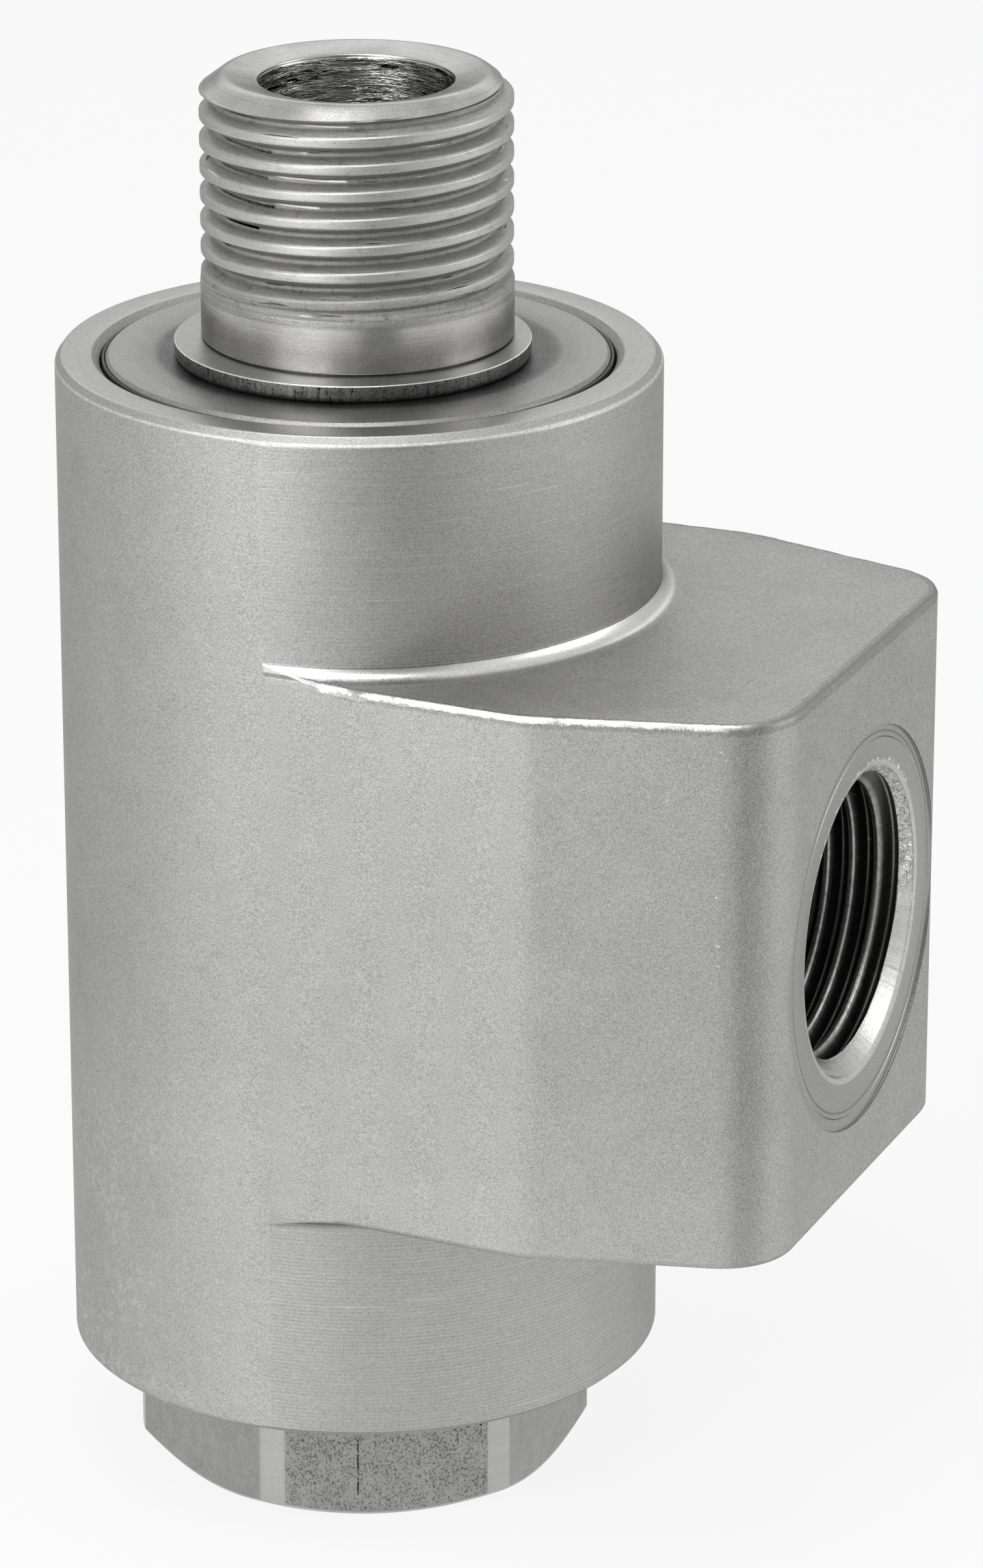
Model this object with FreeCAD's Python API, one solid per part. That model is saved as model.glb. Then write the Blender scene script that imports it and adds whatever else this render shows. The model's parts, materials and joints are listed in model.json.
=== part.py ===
import FreeCAD, Part
import math
import os

# Right-angle swivel joint for high-pressure hydraulic lines, in millimetres.
# A hollow shaft with a male pipe thread turns in a housing whose side lug holds the female port.
# +Z runs along the swivel axis towards the threaded stub and +X out of the side port.
# The origin is the centre of the end plug's flat lower face, on the swivel axis.

Vector = FreeCAD.Vector
UP = Vector(0, 0, 1)
CENTRE = Vector(0, 0, 0)

# Half-inch parallel pipe thread: crest of the stub, and how much wider the port's root is
stub_thread_r = 10.4
port_thread_allowance = 0.08

# Housing outside
rim_wall = 3.05
rim_chamfer = 0.6
foot_chamfer = 0.25
lug_height = 37.8
lug_rise = 0.15
lug_reach = 36.6
lug_bend_x = 20.6
lug_side_rise = 0.55
lug_taper_angle = 15.4
lug_blend_r = 7.0
lug_corner_r = 5.0
lug_edge_break = 0.3
step_fillet_r = 1.1

# Side port
port_thread_depth = 15.0
port_mouth_width = 0.47
port_drill_r = 6.5
spot_face_width = 2.8
spot_face_depth = 0.15

# Inside of the housing, along the swivel axis from the foot upwards
plug_hex_height = 9.0
plug_thread_length = 5.5
plug_nose_length = 3.7
spring_height = 1.0
bearing_width = 7.0
relief_depth = 1.0
lower_outer_land = 3.1
seal_groove_height = 5.0
chamber_land = 1.7
chamber_margin = 0.5
wear_land = 2.0
wear_ring_height = 5.0
grease_land = 1.6
grease_groove_height = 1.8
upper_outer_land = 1.65
hub_height = 0.7
disc_thickness = 1.0
rim_rise = 0.35

# Inside of the housing, across the swivel axis
plug_thread_step = 0.5
recess_step = 0.7
recess_floor_drop = 0.45
chamber_depth = 2.5
seal_groove_depth = 3.0
wear_groove_depth = 1.5
grease_groove_depth = 2.0

# Shaft
collar_step = 0.05
seat_step = 0.05
land_step = 1.5
shaft_bore_r = 6.5
shaft_waist_depth = 1.0
shaft_waist_margin = 0.5
shaft_tail_length = 2.8
cross_hole_r = 4.5
cross_hole_count = 4
drill_point_angle = 118.0
collar_height = 3.45
stub_thread_length = 13.2
stub_lead_height = 1.17
stub_lead_width = 1.56
stub_dish_depth = 0.55
seat_chamfer = 0.4

# Ball bearings
bearing_section = 6.0
ball_r = 1.75
ball_count = 16
shoulder_gap = 1.8
bearing_chamfer = 0.3
cage_thickness = 1.2
cage_back = 2.6
cage_front = 1.1

# Retaining rings, cover disc, seals and plug
retaining_ring_thickness = 1.2
retaining_groove_depth = 0.5
retaining_beam = 2.7
retaining_tip = 1.1
retaining_ear_r = 2.0
retaining_hole_r = 1.0
retaining_gap_angle = 20.0
retaining_ear_angle = 19.0
retaining_turn = 90.0
snap_wire_r = 0.8
disc_gap = 0.33
hub_wall = 1.9
dust_seal_thickness = 0.6
dust_lip_width = 0.18
dust_lip_height = 0.75
dust_seal_width = 3.6
slipper_width = 1.22
backup_height = 1.2
o_ring_groove_height = 2.0
o_ring_wire_r = 0.7
plug_across_flats = 28.0
plug_side_count = 6
plug_corner_rise = 1.6
plug_foot_inset = 0.3
plug_chamfer_angle = 30.0
plug_cavity_depth = 5.2
spring_sheet = 0.35
spring_wave_count = 3
spring_point_count = 36

# Clearances
guide_clearance = 0.08
seal_clearance = 0.03
wear_clearance = 0.02
race_clearance = 0.04
pocket_clearance = 0.05
dust_clearance = 0.1
nose_clearance = 0.05
groove_clearance = 0.1

# Radii that follow from the sizes above
port_thread_r = stub_thread_r + port_thread_allowance
port_mouth_r = port_thread_r + port_mouth_width
spot_face_r = port_mouth_r + spot_face_width
shaft_collar_r = stub_thread_r + collar_step
shaft_seat_r = shaft_collar_r + seat_step
shaft_land_r = shaft_seat_r + land_step
shaft_waist_r = shaft_land_r - shaft_waist_depth
retaining_groove_r = shaft_seat_r - retaining_groove_depth
bearing_outer_r = shaft_seat_r + bearing_section
ball_pitch_r = shaft_seat_r + bearing_section / 2
inner_shoulder_r = ball_pitch_r - shoulder_gap / 2
outer_shoulder_r = ball_pitch_r + shoulder_gap / 2
guide_r = shaft_land_r + guide_clearance
chamber_r = shaft_land_r + chamber_depth
seal_groove_r = shaft_land_r + seal_groove_depth
wear_groove_r = shaft_land_r + wear_groove_depth
grease_groove_r = shaft_land_r + grease_groove_depth
plug_thread_r = bearing_outer_r + plug_thread_step
plug_cavity_r = inner_shoulder_r
plug_turned_r = plug_across_flats / 2 + plug_corner_rise
plug_hex_chamfer_r = plug_across_flats / 2 - plug_foot_inset
recess_r = bearing_outer_r + recess_step
rim_inner_r = recess_r + rim_chamfer
housing_r = recess_r + rim_wall
lug_half_width = housing_r + lug_side_rise

# Heights that follow from the sizes above
chamber_height = 2 * (port_drill_r + chamber_margin)
shaft_waist_height = 2 * (cross_hole_r + shaft_waist_margin)
housing_bottom = plug_hex_height
plug_nose_z = housing_bottom + plug_thread_length
spring_z = plug_nose_z + plug_nose_length
lower_bearing_z = spring_z + spring_height
lower_shoulder_z = lower_bearing_z + bearing_width
lower_seal_z = lower_shoulder_z + relief_depth + lower_outer_land
chamber_bottom = lower_seal_z + seal_groove_height + chamber_land
chamber_top = chamber_bottom + chamber_height
port_z = (chamber_bottom + chamber_top) / 2
upper_seal_z = chamber_top + chamber_land
wear_ring_z = upper_seal_z + seal_groove_height + wear_land
grease_seal_z = wear_ring_z + wear_ring_height + grease_land
upper_shoulder_z = grease_seal_z + grease_groove_height + upper_outer_land + relief_depth
upper_bearing_top = upper_shoulder_z + bearing_width
recess_floor = upper_bearing_top - recess_floor_drop
disc_bottom = upper_bearing_top + hub_height
disc_top = disc_bottom + disc_thickness
housing_top = disc_top + rim_rise
retaining_groove_top = disc_top + retaining_ring_thickness + groove_clearance
stub_thread_z = retaining_groove_top + collar_height
stub_lead_z = stub_thread_z + stub_thread_length
stub_top = stub_lead_z + stub_lead_height
shaft_bottom = lower_bearing_z - shaft_tail_length
lug_bottom = port_z + lug_rise - lug_height / 2
lug_top = lug_bottom + lug_height


def revolve(points):
    """Solid turned about the swivel axis from a closed outline of (radius, height) points."""
    corners = [Vector(r, 0, z) for r, z in points]
    outline = Part.makePolygon(corners + corners[:1])
    return Part.Face(outline).revolve(CENTRE, UP, 360)


def tube(inner_r, outer_r, bottom, top, chamfer=0.0):
    """Ring with square inner corners and, where asked, chamfered outer and inner edges."""
    c = chamfer
    if c == 0:
        return revolve([(inner_r, bottom), (outer_r, bottom), (outer_r, top), (inner_r, top)])
    return revolve([
        (inner_r + c, bottom), (outer_r - c, bottom), (outer_r, bottom + c), (outer_r, top - c),
        (outer_r - c, top), (inner_r + c, top), (inner_r, top - c), (inner_r, bottom + c),
    ])


def o_ring(centre_r, wire_r, height):
    return Part.makeTorus(centre_r, wire_r, Vector(0, 0, height), UP)


def around(count, first=0.0):
    """Angles of count equal steps about the swivel axis, in degrees."""
    return [first + 360.0 * i / count for i in range(count)]


def turned(shape, angle):
    copy = shape.copy()
    copy.rotate(CENTRE, UP, angle)
    return copy


def polar(r, angle):
    return Vector(r * math.cos(math.radians(angle)), r * math.sin(math.radians(angle)), 0)


def lug_outline():
    """Plan of the lug: sides that leave the barrel at a tangent, bend inwards and end in a flat face."""
    bend = Vector(lug_bend_x, lug_half_width, 0)
    tangent_angle = math.degrees(math.atan2(bend.y, bend.x) + math.acos(housing_r / bend.Length))
    start = polar(housing_r, tangent_angle)
    side_angle = tangent_angle - 90
    turn = lug_taper_angle + side_angle
    corner_turn = 90 - lug_taper_angle
    blend_run = lug_blend_r * math.tan(math.radians(turn / 2))
    corner_run = lug_corner_r * math.tan(math.radians(corner_turn / 2))
    outwards = polar(1, side_angle)
    inwards = polar(1, -lug_taper_angle)
    tip = bend + inwards * ((lug_reach - lug_bend_x) / inwards.x)
    blend_start = bend - outwards * blend_run
    blend_centre = blend_start - polar(lug_blend_r, tangent_angle)
    blend_middle = blend_centre + polar(lug_blend_r, tangent_angle - turn / 2)
    blend_end = bend + inwards * blend_run
    corner_start = tip - inwards * corner_run
    corner_end = tip - Vector(0, corner_run, 0)
    corner_centre = corner_end - Vector(lug_corner_r, 0, 0)
    corner_middle = corner_centre + polar(lug_corner_r, corner_turn / 2)
    half = Part.Wire([
        Part.makeLine(start, blend_start),
        Part.Arc(blend_start, blend_middle, blend_end).toShape(),
        Part.makeLine(blend_end, corner_start),
        Part.Arc(corner_start, corner_middle, corner_end).toShape(),
    ])
    other = half.mirror(CENTRE, Vector(0, 1, 0))
    end_face = Part.makeLine(corner_end, Vector(corner_end.x, -corner_end.y, 0))
    back = Part.makeLine(Vector(start.x, -start.y, 0), start)
    return Part.Wire(Part.__sortEdges__(half.Edges + [end_face] + other.Edges + [back]))


def lug_prism(bottom, top):
    face = Part.Face(lug_outline())
    face.translate(Vector(0, 0, bottom))
    return face.extrude(Vector(0, 0, top - bottom))


def outer_edges(prism, height):
    """Edges of the prism at one height, without the straight one inside the barrel."""
    return [
        e for e in prism.Edges
        if abs(e.BoundBox.ZMin - height) < 1e-6 and abs(e.BoundBox.ZMax - height) < 1e-6
        and e.BoundBox.XMax > 1e-6
    ]


def step_fillet(height, direction):
    """Ring of the hollow fillet that joins the barrel to the lug's flat top (1) or bottom (-1)."""
    r = step_fillet_r
    foot = Vector(housing_r + r, 0, height)
    head = Vector(housing_r, 0, height + direction * r)
    lean = r * (1 - math.sqrt(0.5))
    middle = Vector(housing_r + lean, 0, height + direction * lean)
    root = Vector(housing_r, 0, height)
    outline = Part.Wire([
        Part.makeLine(root, foot),
        Part.Arc(foot, middle, head).toShape(),
        Part.makeLine(head, root),
    ])
    return Part.Face(outline).revolve(CENTRE, UP, 360)


def housing_bore():
    """Everything turned out of the housing along the swivel axis, as one closed outline."""
    lead = seat_chamfer
    return revolve([
        (0, housing_bottom - 1), (plug_thread_r + lead, housing_bottom - 1),
        (plug_thread_r + lead, housing_bottom), (plug_thread_r, housing_bottom + lead),
        (plug_thread_r, plug_nose_z), (bearing_outer_r, plug_nose_z),
        (bearing_outer_r, lower_shoulder_z), (outer_shoulder_r, lower_shoulder_z),
        (outer_shoulder_r, lower_shoulder_z + relief_depth), (guide_r, lower_shoulder_z + relief_depth),
        (guide_r, lower_seal_z), (seal_groove_r, lower_seal_z),
        (seal_groove_r, lower_seal_z + seal_groove_height), (guide_r, lower_seal_z + seal_groove_height),
        (guide_r, chamber_bottom), (chamber_r, chamber_bottom), (chamber_r, chamber_top),
        (guide_r, chamber_top), (guide_r, upper_seal_z), (seal_groove_r, upper_seal_z),
        (seal_groove_r, upper_seal_z + seal_groove_height), (guide_r, upper_seal_z + seal_groove_height),
        (guide_r, wear_ring_z), (wear_groove_r, wear_ring_z),
        (wear_groove_r, wear_ring_z + wear_ring_height), (guide_r, wear_ring_z + wear_ring_height),
        (guide_r, grease_seal_z), (grease_groove_r, grease_seal_z),
        (grease_groove_r, grease_seal_z + grease_groove_height),
        (guide_r, grease_seal_z + grease_groove_height),
        (guide_r, upper_shoulder_z - relief_depth), (outer_shoulder_r, upper_shoulder_z - relief_depth),
        (outer_shoulder_r, upper_shoulder_z), (bearing_outer_r, upper_shoulder_z),
        (bearing_outer_r, recess_floor), (recess_r, recess_floor),
        (recess_r, housing_top - rim_chamfer), (rim_inner_r, housing_top),
        (rim_inner_r, housing_top + 1), (0, housing_top + 1),
    ])


def port_hole():
    """Spot face, chamfered mouth, thread and drilled passage of the side port."""
    face = lug_reach
    thread_end = face - port_thread_depth
    point = (port_thread_r - port_drill_r) / math.tan(math.radians(drill_point_angle / 2))
    floor = face - spot_face_depth
    outline = Part.makePolygon([
        Vector(x, y, 0) for x, y in [
            (0, 0), (0, port_drill_r), (thread_end - point, port_drill_r), (thread_end, port_thread_r),
            (floor - port_mouth_width, port_thread_r), (floor, port_mouth_r), (floor, spot_face_r),
            (face + 1, spot_face_r), (face + 1, 0), (0, 0),
        ]
    ])
    tool = Part.Face(outline).revolve(CENTRE, Vector(1, 0, 0), 360)
    tool.translate(Vector(0, 0, port_z))
    return tool


def housing():
    barrel = revolve([
        (0, housing_bottom), (housing_r - foot_chamfer, housing_bottom),
        (housing_r, housing_bottom + foot_chamfer), (housing_r, housing_top - rim_chamfer),
        (housing_r - rim_chamfer, housing_top), (0, housing_top),
    ])
    lug = lug_prism(lug_bottom, lug_top)
    lug = lug.makeChamfer(lug_edge_break, outer_edges(lug, lug_bottom) + outer_edges(lug, lug_top))
    reach = lug_prism(lug_bottom - 2 * step_fillet_r, lug_top + 2 * step_fillet_r)
    fillets = [step_fillet(lug_top, 1).common(reach), step_fillet(lug_bottom, -1).common(reach)]
    body = barrel.fuse([lug] + fillets).removeSplitter()
    return body.cut(housing_bore()).cut(port_hole())


def shaft():
    """Hollow shaft: snap-ring tail, two bearing seats, sealing land, collar and threaded stub."""
    waist_bottom = port_z - shaft_waist_height / 2
    waist_top = port_z + shaft_waist_height / 2
    bore_floor = port_z - cross_hole_r - ball_r
    point_depth = shaft_bore_r / math.tan(math.radians(drill_point_angle / 2))
    lip_r = stub_thread_r - stub_lead_width
    body = revolve([
        (0, shaft_bottom), (shaft_seat_r - seat_chamfer, shaft_bottom),
        (shaft_seat_r, shaft_bottom + seat_chamfer), (shaft_seat_r, lower_shoulder_z),
        (shaft_land_r - seat_chamfer, lower_shoulder_z), (shaft_land_r, lower_shoulder_z + seat_chamfer),
        (shaft_land_r, waist_bottom), (shaft_waist_r, waist_bottom + shaft_waist_depth),
        (shaft_waist_r, waist_top - shaft_waist_depth), (shaft_land_r, waist_top),
        (shaft_land_r, upper_shoulder_z - seat_chamfer), (shaft_land_r - seat_chamfer, upper_shoulder_z),
        (shaft_seat_r, upper_shoulder_z), (shaft_seat_r, disc_top), (retaining_groove_r, disc_top),
        (retaining_groove_r, retaining_groove_top), (shaft_collar_r, retaining_groove_top),
        (shaft_collar_r, stub_thread_z), (stub_thread_r, stub_thread_z), (stub_thread_r, stub_lead_z),
        (lip_r, stub_top), (shaft_bore_r, stub_top - stub_dish_depth), (shaft_bore_r, bore_floor),
        (0, bore_floor - point_depth),
    ])
    hole = Part.makeCylinder(cross_hole_r, shaft_land_r + 1, Vector(0, 0, port_z), Vector(1, 0, 0))
    body = body.cut([turned(hole, a) for a in around(cross_hole_count)])
    return body.cut(snap_ring_wire())


def snap_ring_wire():
    return o_ring(shaft_seat_r + snap_wire_r / 4, snap_wire_r, lower_bearing_z - snap_wire_r)


def sector(r, angle, bottom, top):
    """Wedge about the swivel axis, centred on +X, used to open a gap in a ring."""
    wedge = Part.makeCylinder(r, top - bottom, Vector(0, 0, bottom), UP, angle)
    return turned(wedge, -angle / 2)


def shaft_end_snap_ring():
    bottom = lower_bearing_z - 3 * snap_wire_r
    return snap_ring_wire().cut(sector(2 * shaft_seat_r, retaining_gap_angle, bottom, lower_bearing_z))


def stub_retaining_ring():
    """Stamped ring that tapers from its widest beam to two pierced ears beside the gap."""
    outer_r = retaining_groove_r + (retaining_beam + retaining_tip) / 2
    offset = (retaining_beam - retaining_tip) / 2
    bottom = disc_top
    thickness = retaining_ring_thickness
    top = bottom + thickness
    ring = Part.makeCylinder(outer_r, thickness, Vector(-offset, 0, bottom), UP)
    ear_pitch_r = retaining_groove_r + retaining_ear_r
    ears = []
    holes = []
    for side in (-1, 1):
        centre = polar(ear_pitch_r, side * retaining_ear_angle)
        centre.z = bottom
        ears.append(Part.makeCylinder(retaining_ear_r, thickness, centre, UP))
        holes.append(Part.makeCylinder(retaining_hole_r, thickness, centre, UP))
    inside = Part.makeCylinder(retaining_groove_r, thickness, Vector(0, 0, bottom), UP)
    gap = sector(2 * retaining_groove_r, retaining_gap_angle, bottom, top)
    ring = ring.fuse(ears).cut([inside, gap] + holes)
    return turned(ring, retaining_turn)


def cover_disc():
    """Rotating disc over the upper bearing, with a hub that bears on the inner ring."""
    disc_r = recess_r - disc_gap
    return revolve([
        (shaft_seat_r, upper_bearing_top), (shaft_seat_r + hub_wall, upper_bearing_top),
        (shaft_seat_r + hub_wall, disc_bottom), (disc_r, disc_bottom), (disc_r, disc_top - 0.15),
        (disc_r - 0.15, disc_top), (shaft_seat_r, disc_top),
    ])


def dust_seal():
    """Rubber ring under the cover disc, with a lip that stands in the gap beside it."""
    outer_r = recess_r - dust_clearance
    base = disc_bottom - dust_seal_thickness
    lip_top = disc_bottom + dust_lip_height
    return revolve([
        (outer_r - dust_seal_width, base), (outer_r, base), (outer_r, lip_top),
        (outer_r - dust_lip_width, lip_top), (outer_r - dust_lip_width, disc_bottom),
        (outer_r - dust_seal_width, disc_bottom),
    ])


def race(bottom):
    middle = bottom + bearing_width / 2
    return o_ring(ball_pitch_r, ball_r + race_clearance, middle)


def inner_ring(bottom):
    blank = tube(shaft_seat_r, inner_shoulder_r, bottom, bottom + bearing_width, bearing_chamfer)
    return blank.cut(race(bottom))


def outer_ring(bottom):
    blank = tube(outer_shoulder_r, bearing_outer_r, bottom, bottom + bearing_width, bearing_chamfer)
    return blank.cut(race(bottom))


def spheres(r, bottom):
    middle = Vector(0, 0, bottom + bearing_width / 2)
    return [Part.makeSphere(r, polar(ball_pitch_r, a) + middle) for a in around(ball_count)]


def balls(bottom):
    return Part.makeCompound(spheres(ball_r, bottom))


def cage(bottom, back):
    """Crown cage: closed on the side of its back (-1 below, 1 above) and open where balls snap in."""
    middle = bottom + bearing_width / 2
    ends = sorted([middle + back * cage_back, middle - back * cage_front])
    inner_r = ball_pitch_r - cage_thickness / 2
    blank = tube(inner_r, inner_r + cage_thickness, ends[0], ends[1])
    return blank.cut(spheres(ball_r + pocket_clearance, bottom))


def slipper_seal(bottom, height):
    inner_r = shaft_land_r + seal_clearance
    return tube(inner_r, inner_r + slipper_width, bottom, bottom + height, bearing_chamfer)


def energizer(bottom, height):
    """Rubber ring that presses the slipper seal inwards from the groove floor."""
    slipper_outer_r = shaft_land_r + seal_clearance + slipper_width
    wire_r = (seal_groove_r - slipper_outer_r) / 2
    return o_ring(slipper_outer_r + wire_r, wire_r, bottom + height / 2)


def backup_ring(bottom):
    return tube(shaft_land_r + 2 * seal_clearance, seal_groove_r, bottom, bottom + backup_height)


def wear_ring():
    """Split guide ring that steadies the shaft above the upper pressure seal."""
    top = wear_ring_z + wear_ring_height
    ring = tube(shaft_land_r + wear_clearance, wear_groove_r, wear_ring_z, top)
    return ring.cut(sector(2 * wear_groove_r, 4, wear_ring_z, top))


def grease_seal():
    wire_r = grease_groove_height / 2
    return o_ring(grease_groove_r - wire_r, wire_r, grease_seal_z + wire_r)


def wave_spring():
    """Wavy washer whose crests press the lower outer ring and whose troughs sit on the plug."""
    middle = (spring_z + lower_bearing_z) / 2
    wave = (spring_height - spring_sheet) / 2

    def edge(r, side):
        points = []
        for angle in around(spring_point_count):
            point = polar(r, angle)
            lift = wave * math.cos(math.radians(spring_wave_count * angle))
            point.z = middle + side * spring_sheet / 2 + lift
            points.append(point)
        curve = Part.BSplineCurve()
        curve.interpolate(points, PeriodicFlag=True)
        return curve.toShape()

    inner_r = outer_shoulder_r + pocket_clearance
    outer_r = bearing_outer_r - bearing_chamfer
    corners = [edge(inner_r, -1), edge(outer_r, -1), edge(outer_r, 1), edge(inner_r, 1)]
    faces = [Part.makeRuledSurface(a, b) for a, b in zip(corners, corners[1:] + corners[:1])]
    return Part.Solid(Part.Shell(faces))


def end_plug():
    """Hexagon plug that closes the foot of the housing and carries the spring."""
    flat = plug_across_flats / 2
    half_side = 180 / plug_side_count
    corner = flat / math.cos(math.radians(half_side))
    corners = [polar(corner, a) for a in around(plug_side_count, half_side)]
    hexagon = Part.makePolygon(corners + corners[:1])
    prism = Part.Face(hexagon).extrude(Vector(0, 0, plug_hex_height))
    cone = (plug_turned_r - plug_hex_chamfer_r) * math.tan(math.radians(plug_chamfer_angle))
    head = prism.common(revolve([
        (0, 0), (plug_hex_chamfer_r, 0), (plug_turned_r, cone), (plug_turned_r, plug_hex_height),
        (0, plug_hex_height),
    ]))
    nose_r = bearing_outer_r - nose_clearance
    groove_r = bearing_outer_r - 2 * o_ring_wire_r
    groove_bottom = plug_nose_z + (plug_nose_length - o_ring_groove_height) / 2
    groove_top = groove_bottom + o_ring_groove_height
    cavity_floor = spring_z - plug_cavity_depth
    lead = seat_chamfer
    body = revolve([
        (0, plug_hex_height), (plug_thread_r - lead, plug_hex_height),
        (plug_thread_r, plug_hex_height + lead), (plug_thread_r, plug_nose_z), (nose_r, plug_nose_z),
        (nose_r, groove_bottom), (groove_r, groove_bottom), (groove_r, groove_top), (nose_r, groove_top),
        (nose_r, spring_z), (plug_cavity_r, spring_z), (plug_cavity_r, cavity_floor), (0, cavity_floor),
    ])
    return head.fuse(body)


def end_plug_o_ring():
    return o_ring(bearing_outer_r - o_ring_wire_r, o_ring_wire_r, plug_nose_z + plug_nose_length / 2)


slipper_height = seal_groove_height - backup_height
upper_bearing_z = upper_shoulder_z

parts = {
    "housing": housing(),
    "shaft": shaft(),
    "stub_retaining_ring": stub_retaining_ring(),
    "cover_disc": cover_disc(),
    "dust_seal": dust_seal(),
    "upper_inner_ring": inner_ring(upper_bearing_z),
    "upper_outer_ring": outer_ring(upper_bearing_z),
    "upper_balls": balls(upper_bearing_z),
    "upper_ball_cage": cage(upper_bearing_z, -1),
    "grease_seal": grease_seal(),
    "wear_ring": wear_ring(),
    "upper_slipper_seal": slipper_seal(upper_seal_z, slipper_height),
    "upper_seal_o_ring": energizer(upper_seal_z, slipper_height),
    "upper_backup_ring": backup_ring(upper_seal_z + slipper_height),
    "lower_slipper_seal": slipper_seal(lower_seal_z + backup_height, slipper_height),
    "lower_seal_o_ring": energizer(lower_seal_z + backup_height, slipper_height),
    "lower_backup_ring": backup_ring(lower_seal_z),
    "lower_inner_ring": inner_ring(lower_bearing_z),
    "lower_outer_ring": outer_ring(lower_bearing_z),
    "lower_balls": balls(lower_bearing_z),
    "lower_ball_cage": cage(lower_bearing_z, 1),
    "shaft_end_snap_ring": shaft_end_snap_ring(),
    "wave_spring": wave_spring(),
    "end_plug": end_plug(),
    "end_plug_o_ring": end_plug_o_ring(),
}

os.makedirs("parts", exist_ok=True)
for name, shape in parts.items():
    shape.exportStep("parts/" + name + ".step")
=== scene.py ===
import json
import math

import bmesh
import bpy
import numpy as np
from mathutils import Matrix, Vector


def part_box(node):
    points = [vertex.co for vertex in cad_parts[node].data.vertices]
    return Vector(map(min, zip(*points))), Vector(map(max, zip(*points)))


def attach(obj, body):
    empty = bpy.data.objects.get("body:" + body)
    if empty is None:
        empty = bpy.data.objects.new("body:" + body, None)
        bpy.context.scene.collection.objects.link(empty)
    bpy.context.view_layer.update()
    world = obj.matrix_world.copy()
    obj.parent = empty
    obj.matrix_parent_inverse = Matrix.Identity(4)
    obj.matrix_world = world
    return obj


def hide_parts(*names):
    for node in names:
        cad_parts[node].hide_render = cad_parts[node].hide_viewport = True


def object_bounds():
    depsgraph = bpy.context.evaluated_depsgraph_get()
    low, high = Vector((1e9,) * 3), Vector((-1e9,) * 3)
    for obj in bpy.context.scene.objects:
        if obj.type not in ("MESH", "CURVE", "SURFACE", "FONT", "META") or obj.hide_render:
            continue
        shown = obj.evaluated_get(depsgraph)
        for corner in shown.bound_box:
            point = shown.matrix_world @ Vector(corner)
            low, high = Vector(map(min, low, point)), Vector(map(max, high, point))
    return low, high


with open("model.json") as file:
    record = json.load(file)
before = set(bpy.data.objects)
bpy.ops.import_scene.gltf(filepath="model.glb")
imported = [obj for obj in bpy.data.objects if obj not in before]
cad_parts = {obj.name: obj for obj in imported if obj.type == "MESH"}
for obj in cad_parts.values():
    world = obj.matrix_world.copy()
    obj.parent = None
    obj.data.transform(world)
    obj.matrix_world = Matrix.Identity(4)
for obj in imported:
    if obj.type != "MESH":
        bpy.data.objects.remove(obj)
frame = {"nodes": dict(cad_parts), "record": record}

for name in ("Cube", "Light", "Camera"):
    if name in bpy.data.objects:
        bpy.data.objects.remove(bpy.data.objects[name])
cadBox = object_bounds()
mm = 0.001
print("frame loaded,", len(frame["nodes"]), "nodes")


# Lowest and highest corner of a CAD piece, in millimetres
def cornersOf(node):
    return [np.array(corner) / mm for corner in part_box(node)]


# Places that the CAD gives, in millimetres
mounts = {m["name"]: m for m in frame["record"]["mounts"]}
housingLow, housingHigh = cornersOf("housing")
shaftLow, shaftHigh = cornersOf("shaft")
discLow, discHigh = cornersOf("cover_disc")
ringLow, ringHigh = cornersOf("stub_retaining_ring")
lipLow, lipHigh = cornersOf("dust_seal")
plugHigh = cornersOf("end_plug")[1]
barrelR, faceX = -housingLow[0], housingHigh[0]
portZ = mounts["inlet_port"]["pos_m"][2] / mm
portRootR = mounts["inlet_port"]["dims"]["r_mm"]
stubCrestR = mounts["outlet_stub"]["dims"]["r_mm"]


# A grid of points (rows, columns, 3) as the faces between neighbours, closed across the columns if asked
def gridFaces(rows, cols, closed):
    r, c = np.meshgrid(np.arange(rows - 1), np.arange(cols if closed else cols - 1), indexing="ij")
    nextCol = (c + 1) % cols
    corners = [r * cols + c, r * cols + nextCol, (r + 1) * cols + nextCol, (r + 1) * cols + c]
    return np.stack(corners, -1).reshape(-1, 4)


# A mesh from one grid, in millimetres, with its doubles merged and its faces turned outwards
def solidFromGrid(name, points, closed=True, sharpAngle=35):
    rows, cols = points.shape[:2]
    mesh = bpy.data.meshes.new(name)
    mesh.from_pydata(points.reshape(-1, 3) * mm, [], gridFaces(rows, cols, closed).tolist())
    work = bmesh.new()
    work.from_mesh(mesh)
    bmesh.ops.remove_doubles(work, verts=work.verts, dist=2e-7)
    bmesh.ops.dissolve_degenerate(work, edges=work.edges, dist=1e-8)
    bmesh.ops.recalc_face_normals(work, faces=work.faces)
    work.to_mesh(mesh)
    work.free()
    piece = bpy.data.objects.new(name, mesh)
    bpy.context.scene.collection.objects.link(piece)
    return shadedSmooth(piece, sharpAngle)


def shadedSmooth(piece, sharpAngle=32):
    piece.data.shade_smooth()
    piece.data.set_sharp_from_angle(angle=math.radians(sharpAngle))
    return piece


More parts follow.
